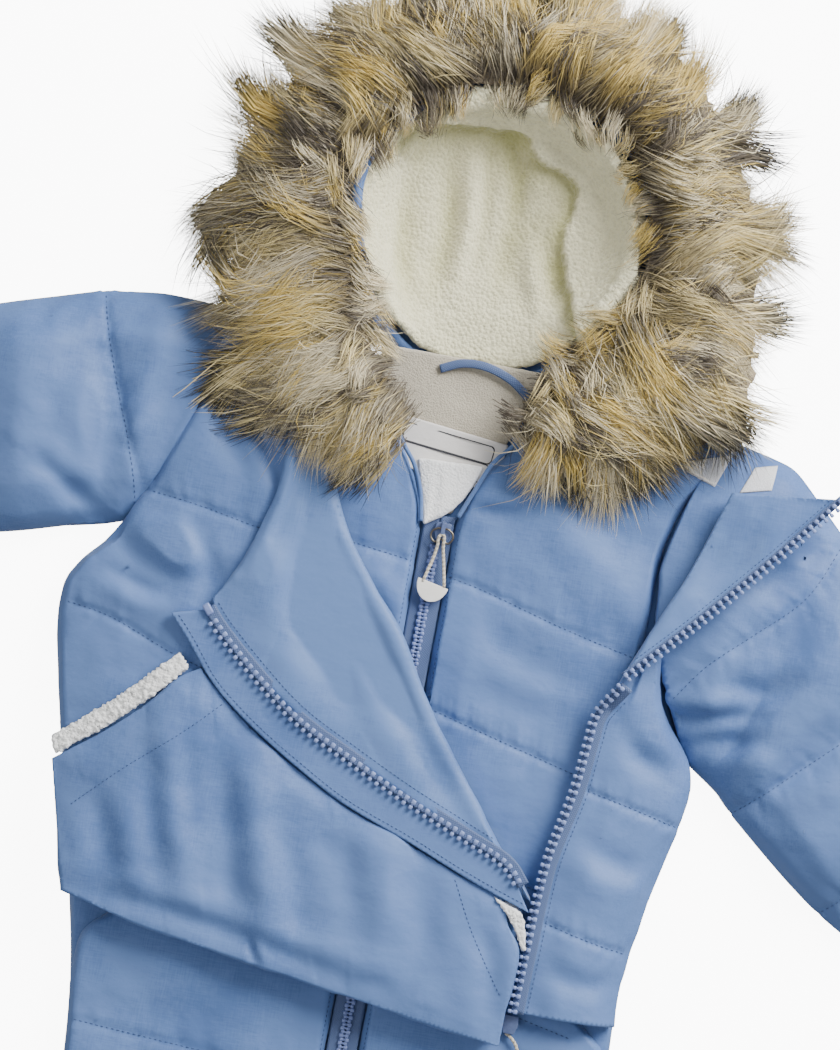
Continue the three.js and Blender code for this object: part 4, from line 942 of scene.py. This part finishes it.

# Tones: painted shade at the roots, dark grey-brown deep in the pile, a pale, golden or grey middle by clump,
# black at many tips
palette = np.array([furSet["cream"], furSet["gold"], furSet["straw"], furSet["grey"]])
paintedRootShade, black = np.array(furSet["paintedRootShade"]), np.array(furSet["black"])
shares = furSet["tones"]
lockTone = np.where(chance.random(lockCount) < 0.26, chance.choice(4, lockCount, p=shares), clumpTone[clump])
hairTone = np.where(chance.random(total) < 0.12, chance.choice(4, total, p=shares), lockTone[lock])
middle = palette[hairTone] * (1 - 0.16 * chance.random(total)[:, None])
middle = middle * chance.uniform(0.72, 1.14, total)[:, None]
strayDark = chance.random(total) < 0.06
darkTip = (clumpDark[clump] & (chance.random(lockCount) < 0.8)) | guard
tip = np.where(((darkTip[lock] & (chance.random(total) < 0.85)) | strayDark)[:, None], black,
               middle * 0.5 + palette[0] * 0.5)
# Painted shade: each hair is darkened to grey-brown at its root and part way up, where the pile is deep
rootShade = paintedRootShade * chance.uniform(0.6, 1.5, total)[:, None]
fullDark = (strayDark | guard[lock] | spiky[lock])[:, None]
beforeTip = np.where(fullDark, 0.08 * middle + 0.92 * tip, 0.58 * middle + 0.42 * tip)
tones = np.stack([rootShade, 0.62 * rootShade + 0.38 * middle, middle, beforeTip, tip], axis=1)
hairTones = np.concatenate([np.repeat(tones[:, :4], 2, axis=1), tones[:, 4:]], axis=1)
hairTones = np.concatenate([np.clip(hairTones, 0, 1), np.ones((total, 9, 1))], axis=2)

# The hairs are shared out over a few joined meshes, three quads and a tip triangle each
quads = np.array([[0, 1, 3, 2], [2, 3, 5, 4], [4, 5, 7, 6]])
order = chance.permutation(total)
for part, first in enumerate(range(0, total, furSet["perPiece"])):
    chosen = order[first:first + furSet["perPiece"]]
    count = len(chosen)
    mesh = bpy.data.meshes.new(f"furLocks{part + 1}")
    mesh.vertices.add(count * 9)
    mesh.vertices.foreach_set("co", hairPoints[chosen].ravel())
    base = (np.arange(count) * 9)[:, None]
    strips = (base[:, :, None] + quads[None]).reshape(count, 12)
    corners = np.concatenate([strips, base + np.array([[6, 7, 8]])], axis=1)
    sizes = np.tile([4, 4, 4, 3], count)
    mesh.loops.add(corners.size)
    mesh.loops.foreach_set("vertex_index", corners.ravel())
    mesh.polygons.add(len(sizes))
    mesh.polygons.foreach_set("loop_start", np.concatenate([[0], np.cumsum(sizes)[:-1]]))
    mesh.update()
    colours = mesh.color_attributes.new("tone", "FLOAT_COLOR", "POINT")
    colours.data.foreach_set("color", hairTones[chosen].ravel())
    locks = pieceOf(f"furLocks{part + 1}", mesh, furMaterial)
print("fur hairs", total)


# Zips: woven tapes, moulded teeth and the seams that hold them
def ribbonAlong(name, line, near, far, top, thick, material, node=None, steps=70, drop=None):
    route = np.array(curved(line, steps + 1))
    heading = np.gradient(route, axis=0)
    heading /= np.linalg.norm(heading, axis=1, keepdims=True)
    travelled = np.concatenate([[0], np.cumsum(np.linalg.norm(np.diff(route, axis=0), axis=1))])
    bm = bmesh.new()
    bmesh.ops.create_grid(bm, x_segments=steps, y_segments=6, size=1.0)
    layer = bm.loops.layers.uv.new("UVMap")
    for vert in bm.verts:
        step = int(round((vert.co.x + 1) / 2 * steps))
        across = near + (far - near) * (vert.co.y + 1) / 2
        x = route[step, 0] - heading[step, 1] * across
        y = route[step, 1] + heading[step, 0] * across
        lift = 0 if drop is None else drop((vert.co.y + 1) / 2, step / steps)
        vert.co = place(x, y, top + lift)
        for loop in vert.link_loops:
            loop[layer].uv = (across / 1000, travelled[step] / 1000)
    faceUp(bm)
    piece = newPiece(name, bm, material)
    walled(piece, thick)
    if node:
        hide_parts(node)
    return piece


def toothShape(headWide, headLong, rootLong, high):
    bm = bmesh.new()
    for middle, size in (
        ((0, -headLong / 2, high / 2), (headWide, headLong, high)),
        ((0, 0.35, high * 0.42), (headWide * 0.5, 1.3, high * 0.8)),
        ((0, 0.9 + rootLong / 2, high * 0.45), (headWide * 0.86, rootLong, high * 0.9)),
    ):
        cube = bmesh.ops.create_cube(bm, size=1.0)["verts"]
        bmesh.ops.scale(bm, vec=Vector(size) / 1000, verts=cube)
        bmesh.ops.translate(bm, vec=Vector(middle) / 1000, verts=cube)
        if size[1] > 1.35:
            edges = {e for v in cube for e in v.link_edges}
            bmesh.ops.bevel(
                bm, geom=list(edges), offset=0.00042, segments=1, profile=0.5, affect="EDGES", material=-1,
            )
    return bm


# One row of teeth: their heads point to the side that facing gives, 1 for left of the line and -1 for right
def teethAlong(name, line, pitch, height, facing, shape, material, offset=0.0, shiftAlong=0.0):
    points, heading = spaced(curved(line, 80), pitch)
    places, turns = [], []
    for (x, y), (hx, hy) in zip(points, heading):
        x, y = x + hx * shiftAlong - hy * offset, y + hy * shiftAlong + hx * offset
        places.append(tuple(place(x, y, height(x, y) if callable(height) else height)))
        outX, outY = facing * hy, -facing * hx
        turns.append([[-outY, outX * -1, 0], [outX, outY * -1, 0], [0, 0, 1]])
    return repeatedMesh(name, toothShape(*shape), places, turns, material)


# Sewing: short rounded stitches that follow the cloth under them
def stitches(name, trees, pitch=3.1, long=2.3, thick=0.42):
    places, turns = [], []
    for tree, line, away in trees:
        points, heading = spaced(curved(line, 60), pitch)
        for (x, y), (hx, hy) in zip(points, heading):
            x, y = x - hy * away, y + hx * away
            here = heightOver(tree, x, y)
            front, back = heightOver(tree, x + hx, y + hy), heightOver(tree, x - hx, y - hy)
            if None in (here, front, back) or abs(front - back) > 2.2:
                continue
            forward = Vector((2 * hx, 2 * hy, front - back)).normalized()
            side = forward.cross(Vector((0, 0, 1))).normalized()
            up = side.cross(forward)
            places.append(tuple(place(x, y, here + 0.1)))
            turns.append([[forward[k], side[k], up[k]] for k in range(3)])
    bm = bmesh.new()
    bmesh.ops.create_icosphere(bm, subdivisions=1, radius=0.5)
    bmesh.ops.scale(bm, vec=Vector((long, thick, thick)) / 1000, verts=bm.verts)
    piece = repeatedMesh(name, bm, places, turns, threadMaterial)
    return piece


# Plan lines of the zips and of the storm flap's edge
outerZip = [
    (-130, -81), (-122, -90), (-96, -113), (-65, -136), (-27, -155), (10, -172), (44, -186), (74, -199),
    (84, -210),
]
stormEdge = [
    (-150, -87), (-137, -101), (-119, -123), (-102, -137), (-83, -150), (-61, -163), (-29, -180), (15, -196),
    (45, -208), (73, -218), (92, -224),
]
sideZip = [(119, -85), (110, -100), (108, -116), (105, -147), (97, -189), (95, -215), (94, -250), (93, -285)]
lapelZip = [(232, 52), (197, 8), (158, -38), (123, -76)]
outerTeethLine = [(-125.5, -86)] + outerZip[1:]  # the first tooth stands clear of the end block
sideLine = [(122, -79.5)] + sideZip[1:]  # its top end climbs to the lapel
zipSet = {
    "outerPitch": 4.9, "sidePitch": 4.7, "centrePitch": 4.6,
    "outerHigh": 39.0, "sideHigh": 31.6, "lapelHigh": 40.6, "centreHigh": 14.0,
    "centreX": -2.5, "tapeTop": -0.5, "chainTop": -17.5, "centreMiddle": -200, "centreEnd": -395,
    "bendHigh": 9.0, "bendFrom": -100, "bendLong": 18, "bendShare": 0.085,
}
toothSet = {  # head width, head length, root length, height
    "outer": (2.9, 2.9, 2.6, 2.7), "side": (2.6, 2.6, 2.4, 2.0), "centre": (2.5, 2.5, 2.3, 2.3),
}


# The side zip rises to the lapel's height round the bend
def sideToothHeight(x, y):
    share = min(max((y - zipSet["bendFrom"]) / zipSet["bendLong"], 0), 1)
    return zipSet["sideHigh"] + zipSet["bendHigh"] * share


def sideTapeRise(across, along):
    return zipSet["bendHigh"] * max(0.0, 1 - along / zipSet["bendShare"])


centreX = zipSet["centreX"]
centreLine = [(centreX, zipSet["tapeTop"]), (centreX, zipSet["centreMiddle"]), (centreX, zipSet["centreEnd"])]
tapeRows = [  # name, line, near and far side, top, thickness, node, steps
    ("outerZipTape", outerZip, -0.9, 6.2, 40.4, 1.1, "outer_zip_tape", 70),
    ("sideZipTape", sideLine, -0.4, 7.4, 31.5, 1.2, "side_zip_tape", 90),
    ("lapelZipTape", lapelZip, 0.6, -3.6, 40.5, 1.2, "lapel_zip_tape", 70),
    ("centreTapeLeft", centreLine, -0.3, -9, 14.1, 1.6, "centre_tape_left", 110),
    ("centreTapeRight", centreLine, 0.3, 9, 14.1, 1.6, "centre_tape_right", 110),
]
for name, line, near, far, top, thick, node, steps in tapeRows:
    rise = sideTapeRise if line is sideLine else None
    ribbonAlong(name, line, near, far, top, thick, tapeMaterial, node, steps, rise)

chainLine = [(centreX, zipSet["chainTop"]), (centreX, zipSet["centreEnd"])]
halfPitch = zipSet["centrePitch"] / 2
teethRows = [  # name, line, pitch, height, side of the heads, tooth, offset, shift along the line, node
    ("outerTeeth", outerTeethLine, "outerPitch", zipSet["outerHigh"], -1, "outer", 0.0, 0.0, "outer_zip_chain"),
    ("sideTeeth", sideLine, "sidePitch", sideToothHeight, -1, "side", 0.8, 0.0, "side_zip_chain"),
    ("lapelTeeth", lapelZip, "sidePitch", zipSet["lapelHigh"], 1, "side", 0.0, 0.0, "lapel_zip_chain"),
    ("chainLeft", chainLine, "centrePitch", zipSet["centreHigh"], 1, "centre", -0.7, 0.0, "centre_chain"),
    ("chainRight", chainLine, "centrePitch", zipSet["centreHigh"], -1, "centre", 0.7, halfPitch, None),
]
for name, line, pitch, height, facing, tooth, offset, shift, node in teethRows:
    material = deepToothMaterial if tooth == "centre" else toothMaterial
    teeth = teethAlong(name, line, zipSet[pitch], height, facing, toothSet[tooth], material, offset, shift)
    if node:
        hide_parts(node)

# The block at the open end of the outer zip
endBlock = {"at": (-128.6, -80.9), "turn": 39.0, "size": (4.6, 7.4, 2.8), "lift": 40.3, "round": 1.1}
bm = bmesh.new()
bmesh.ops.create_cube(bm, size=1.0)
bmesh.ops.scale(bm, vec=Vector(endBlock["size"]) / 1000, verts=bm.verts)
bmesh.ops.bevel(
    bm, geom=bm.edges[:], offset=endBlock["round"] / 1000, segments=3, profile=0.5, affect="EDGES", material=-1,
)
bmesh.ops.rotate(bm, matrix=Matrix.Rotation(math.radians(endBlock["turn"]), 3, "Z"), verts=bm.verts)
bmesh.ops.translate(bm, vec=place(*endBlock["at"], endBlock["lift"]), verts=bm.verts)
zipEnd = newPiece("outerZipEnd", bm, deepToothMaterial)
print("zips")


# Armholes and the crotch seam: the tubes run a few millimetres in under the body panels
def tuckIn(piece, line, reach, push):
    points, normals = readPoints(piece.data)
    x, y = planOf(points)
    signed, travelled, total = alongLine(curved(line, 20), x, y)
    near = np.clip(1 - np.abs(signed) / reach, 0, 1)
    points[:, 0] += near * push[0] / 1000
    points[:, 1] += near * push[1] / 1000
    points[:, 2] -= near * np.clip(points[:, 2] - 0.004, 0, 1) * push[2]
    writePoints(piece.data, points)


leftArmhole = [(-153, 100), (-165, 52), (-176, 20), (-184, -8), (-195, -37.5), (-203, -43), (-216, -68)]
rightArmhole = [(167, 75), (150, 20), (141, -23), (147, -70), (160, -104), (178, -121)]
tuckIn(panels["sleeve_left"], leftArmhole, 16, (6, -1, 0.10))
tuckIn(panels["sleeve_right"], rightArmhole, 20, (-9, 1.5, 0.12))
for leg, side in (("leg_left", -1), ("leg_right", 1)):
    crotch = [(-4 + side * 162, -395.3), (-4 + side * 80, -395.3), (-4, -395.3)]
    tuckIn(panels[leg], crotch, 12, (0, 4, 0.05))

trees = {node: treeOf(panel) for node, panel in panels.items()}
quiltLines = [(trees[node], line, 0) for node, settings in panelSet.items() for line in settings["seams"]
              if node not in ("back_panel", "leg_left", "leg_right")]
stitches("quiltingStitches", quiltLines, 3.3, 2.3, 0.62)
stitches("legStitches", [(trees[node], line, 0) for node in ("leg_left", "leg_right")
                         for line in panelSet[node]["seams"]], 3.6, 2.6, 0.5)
edgeLines = [
    (trees["storm_flap"], stormEdge, 3.2), (trees["turned_facing"], outerZip, 8.4),
    (trees["inner_front_left"], [(-15.2, 0), (-15.2, -200), (-15.2, -392)], 0),
    (trees["inner_front_right"], [(10.4, -6), (10.4, -200), (10.4, -392)], 0),
    (trees["pouch_pocket"], [(-189, -211), (-162, -184), (-129, -154.5), (-109, -134)], 0),
    (trees["pouch_pocket"], [(45, -212), (60, -240), (73, -260), (85, -277)], 0),
    (trees["side_front_right"], sideZip, 9.2), (trees["lapel_right"], lapelZip, -5.2),
]
stitches("edgeStitches", edgeLines, 2.9, 2.0, 0.6)
print("stitches")

# Neck: a bound edge, the woven label with its two empty boxes, and the hang loop
bindSet = {
    "thick": 2.6,
    "left": [(-38, 46, 20.6), (-31, 36, 20.8), (-24, 27, 20.4), (-17, 11, 19.2), (-13.6, -6, 18.4)],
    "right": [(44, 71, 20.6), (37, 54, 21), (22.5, 35.5, 20.6), (14.2, 16, 19.6), (8, 0, 18.4)],
}
for side in ("left", "right"):
    name = "neckBinding" + side.capitalize()
    binding, route = cordAlong(name, bindSet[side], bindSet["thick"], facingCloth, "suit", 12, 50)
labelPaper, tree, shader = newMaterial("wovenLabel", (0.72, 0.70, 0.68), 0.75, Sheen_Weight=0.2)
labelWeave = mixed(tree, threads(tree, 0.0004, "X"), threads(tree, 0.0004, "Y"), "MULTIPLY")
labelTone = mixed(tree, labelWeave, grain(tree, 60.0), "MULTIPLY")
tinted(tree, shader, labelTone, (0.76, 0.73, 0.70), (0.92, 0.89, 0.86), 0.1, 0.7)
bumped(tree, shader, (labelWeave, 0.00006), (grain(tree, 120.0), 0.0004))
inkMaterial, tree, shader = newMaterial("darkWovenLine", (0.035, 0.035, 0.04), 0.8)
tinted(tree, shader, threads(tree, 0.0005, "DIAGONAL"), (0.02, 0.02, 0.025), (0.07, 0.07, 0.08))
bumped(tree, shader, (grain(tree, 1500.0), 0.00005))
labelSet = {
    "corner": (-36, 55), "turn": -6.0, "wide": 66, "tall": 30, "top": 14.4, "thick": 0.6,
    "boxes": [(3.4, 3.2, 56, 11.5), (3.4, 14.7, 56, 12.0)], "round": 2.6, "line": 0.75,
    "inkLift": 0.16, "inkThick": 0.15,
}
labelTurn = math.radians(labelSet["turn"])


def onLabel(across, down, lift=0.0):
    x = labelSet["corner"][0] + across * math.cos(labelTurn) + down * math.sin(labelTurn)
    y = labelSet["corner"][1] + across * math.sin(labelTurn) - down * math.cos(labelTurn)
    wave = 0.35 * math.sin(across / 9.0) + 0.25 * math.sin(down / 5 + across / 14)
    return place(x, y, labelSet["top"] + wave + lift)


bm = bmesh.new()
bmesh.ops.create_grid(bm, x_segments=48, y_segments=24, size=1.0)
for vert in bm.verts:
    across, down = (vert.co.x + 1) / 2 * labelSet["wide"], (1 - vert.co.y) / 2 * labelSet["tall"]
    vert.co = onLabel(across, down)
label = newPiece("neckLabel", bm, labelPaper)
walled(label, labelSet["thick"])
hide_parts("neck_label")
bm = bmesh.new()
for left, down, wide, tall in labelSet["boxes"]:
    corner, lift, outline = labelSet["round"], labelSet["inkLift"], []
    nearX, farX, nearY, farY = left + corner, left + wide - corner, down + corner, down + tall - corner
    for cx, cy, start in ((farX, nearY, -90), (farX, farY, 0), (nearX, farY, 90), (nearX, nearY, 180)):
        for step in range(7):
            turn = math.radians(start + 15 * step)
            outline.append((cx + corner * math.cos(turn), cy + corner * math.sin(turn)))
    rings = []
    for px, py in outline:
        middleX, middleY = left + wide / 2, down + tall / 2
        inX = px - labelSet["line"] * math.copysign(0.9, px - middleX)
        inY = py - labelSet["line"] * math.copysign(0.9, py - middleY)
        rings.append((bm.verts.new(onLabel(px, py, lift)), bm.verts.new(onLabel(inX, inY, lift))))
    for (a, b), (c, d) in zip(rings, rings[1:] + rings[:1]):
        bm.faces.new((a, c, d, b))
faceUp(bm)
labelBox = newPiece("labelBox", bm, inkMaterial, smooth=False)
walled(labelBox, labelSet["inkThick"])
loopLine = [(-19, 86), (-6, 91.5), (8, 92), (24, 87), (37, 78)]
hangLoop = ribbonAlong(
    "hangLoop", loopLine, -2.6, 2.6, 14.7, 1.4, tapeMaterial, "hang_loop", 50,
    lambda across, along: 2.5 * math.sin(math.pi * along) + 0.5 * math.sin(math.pi * across),
)

# Slider, bridge, bail and the half moon tabs, with their edges broken
wireMetal, tree, shader = newMaterial("brushedZipMetal", (0.2, 0.175, 0.14), 0.34, 1.0)
scratches = grain(tree, 320.0, stretch=(1, 7, 1), detail=5.0)
tinted(tree, shader, scratches, (0.14, 0.12, 0.095), (0.27, 0.24, 0.2))
bumped(tree, shader, (scratches, 0.00003))
tabMaterial, tree, shader = newMaterial("mattTabPlastic", (0.9, 0.87, 0.8), 0.45, Coat_Weight=0.1)
tinted(tree, shader, grain(tree, 90.0), (0.85, 0.82, 0.74), (0.94, 0.915, 0.85))
bumped(tree, shader, (grain(tree, 1800.0, detail=4.0), 0.00005))


def brokenEdges(name, node, material, width, body="suit", segments=3):
    bm = bmesh.new()
    bm.from_mesh(nodes[node].data)
    bmesh.ops.remove_doubles(bm, verts=bm.verts, dist=1e-6)
    bmesh.ops.dissolve_limit(bm, angle_limit=0.02, verts=bm.verts, edges=bm.edges)
    sharp = [e for e in bm.edges if e.calc_face_angle(0) > 0.5]
    bmesh.ops.bevel(
        bm, geom=sharp, offset=width / 1000, segments=segments, profile=0.6, affect="EDGES", material=-1,
        clamp_overlap=True,
    )
    piece = newPiece(name, bm, material, body)
    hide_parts(node)
    return piece


lacquer, tree, shader = newMaterial("blueSliderLacquer", (0.13, 0.18, 0.36), 0.35, 0.4, Coat_Weight=0.3)
tinted(tree, shader, grain(tree, 240.0), (0.11, 0.155, 0.32), (0.16, 0.215, 0.41))
bumped(tree, shader, (grain(tree, 1400.0), 0.00003))
brokenEdges("centreSlider", "centre_slider", lacquer, 0.5)
brokenEdges("centreBridge", "centre_bridge", lacquer, 0.35)
brokenEdges("outerSlider", "outer_slider", lacquer, 0.5)
brokenEdges("centreTab", "pull_tab", tabMaterial, 0.45, "pull")
brokenEdges("outerTab", "outer_pull_tab", tabMaterial, 0.45)
bailPlan = [(-2.6, 0), (0.5, 0), (3.6, 0), (6.6, -2.2), (7.2, -5.4), (4.8, -8.4), (2.0, -7.4), (0.5, -6.2),
            (-1.0, -7.4), (-3.8, -8.4), (-6.2, -5.4), (-5.6, -2.2)]
bm = bmesh.new()
bailRoute = curved([(x, y - 8.3) for x, y in bailPlan + bailPlan[:1]], 61)[:-1]
rings = []
for index, (x, y) in enumerate(bailRoute):
    ahead, behind = bailRoute[(index + 1) % 60], bailRoute[index - 1]
    forward = Vector((ahead[0] - behind[0], ahead[1] - behind[1], 0)).normalized()
    side = forward.cross(Vector((0, 0, 1)))
    turn = Matrix((side, Vector((0, 0, 1)), forward)).transposed().to_4x4()
    circle = bmesh.ops.create_circle(bm, cap_ends=False, segments=12, radius=0.00065)["verts"]
    bmesh.ops.transform(bm, matrix=Matrix.Translation(place(x, y, 19.3)) @ turn, verts=circle)
    rings.append(circle)
for here, after in zip(rings, rings[1:] + rings[:1]):
    for k in range(12):
        bm.faces.new((here[k], here[(k + 1) % 12], after[(k + 1) % 12], after[k]))
bmesh.ops.recalc_face_normals(bm, faces=bm.faces)
bail = newPiece("centreBail", bm, wireMetal, "pull")
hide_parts("pull_bail")

# Reflective patches: grey beaded film with a rolled edge
patchMaterial, tree, shader = newMaterial("reflectiveFilm", (0.52, 0.53, 0.56), 0.6, 0.0, Coat_Weight=0.05)
where = addNode(tree, "TexCoord").outputs["Object"]
beads = addNode(tree, "TexVoronoi", {"Vector": where}, Scale=1600.0).outputs["Distance"]
beadTone = mixed(tree, beads, grain(tree, 30.0), "MULTIPLY")
tinted(tree, shader, beadTone, (0.50, 0.505, 0.53), (0.74, 0.745, 0.77), 0.05, 0.4)
bumped(tree, shader, (beads, 0.00022))
patchSet = {
    "thick": 0.7, "edge": 0.5,
    "shoulderPatch": {"node": "patch_front", "corners": [(133, 57), (164, 67), (156, 46), (137, 52)]},
    "sleevePatch": {"node": "patch_sleeve", "corners": [(178, 62), (192, 66), (190, 50), (171, 45)]},
}
shoulderNodes = ("inner_front_right", "side_front_right", "lapel_right", "sleeve_right", "hood_shell")
under = [trees[node] for node in shoulderNodes]
for name in ("shoulderPatch", "sleevePatch"):
    bm = bmesh.new()
    bmesh.ops.create_grid(bm, x_segments=24, y_segments=18, size=1.0)
    first, second, third, fourth = (Vector(corner) for corner in patchSet[name]["corners"])
    for vert in bm.verts:
        across, down = (vert.co.x + 1) / 2, (vert.co.y + 1) / 2
        outer = max(abs(vert.co.x), abs(vert.co.y)) > 0.99
        x, y = first.lerp(second, across).lerp(fourth.lerp(third, across), down)
        heights = [heightOver(tree, x, y) for tree in under]
        lying = max([high for high in heights if high is not None] or [20.0])
        vert.co = place(x, y, lying + patchSet["thick"] + 0.2 - outer * patchSet["edge"])
    bmesh.ops.smooth_vert(bm, verts=bm.verts, factor=0.5, use_axis_z=True)
    if sum(f.normal.z for f in bm.faces) < 0:
        bmesh.ops.reverse_faces(bm, faces=bm.faces)
    patch = newPiece(name, bm, patchMaterial)
    walled(patch, patchSet["thick"])
    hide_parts(patchSet[name]["node"])
print("trims")

# Studio: a pale floor, a broad soft light from the upper right, a weak fill and a white surround
floorMaterial, tree, shader = newMaterial(
    "paleFloor", (0.9, 0.9, 0.9), 0.8, Emission_Color=(1, 1, 1, 1), Emission_Strength=9.0,
)
floorBm = bmesh.new()
bmesh.ops.create_grid(floorBm, x_segments=1, y_segments=1, size=4.0)
floorMesh = bpy.data.meshes.new("paleFloor")
floorBm.to_mesh(floorMesh)
floorBm.free()
floor = bpy.data.objects.new("paleFloor", floorMesh)
floor.location = (0, 0, -0.0005)
floorMesh.materials.append(floorMaterial)
bpy.context.scene.collection.objects.link(floor)
floor.visible_diffuse = False
floor.visible_glossy = False
floor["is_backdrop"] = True
studioSet = [
    {"name": "keyLight", "at": (1.6, 2.1, 1.6), "size": 1.6, "watts": 210},
    {"name": "fillLight", "at": (-1.6, -0.6, 2.0), "size": 2.2, "watts": 14},
]
for light in studioSet:
    data = bpy.data.lights.new(light["name"], "AREA")
    data.shape, data.size, data.energy = "SQUARE", light["size"], light["watts"]
    lamp = bpy.data.objects.new(light["name"], data)
    lamp.location = light["at"]
    lamp.rotation_euler = (Vector((0, 0.1, 0)) - lamp.location).to_track_quat("-Z", "Y").to_euler()
    bpy.context.scene.collection.objects.link(lamp)
world = bpy.data.worlds.new("studioAir")
world.use_nodes = True
world.node_tree.nodes["Background"].inputs["Color"].default_value = (0.95, 0.97, 1.0, 1)
world.node_tree.nodes["Background"].inputs["Strength"].default_value = 0.46
bpy.context.scene.world = world

sizes = {"cad": [list(cadLow), list(cadHigh)], "visual": [list(p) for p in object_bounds()]}
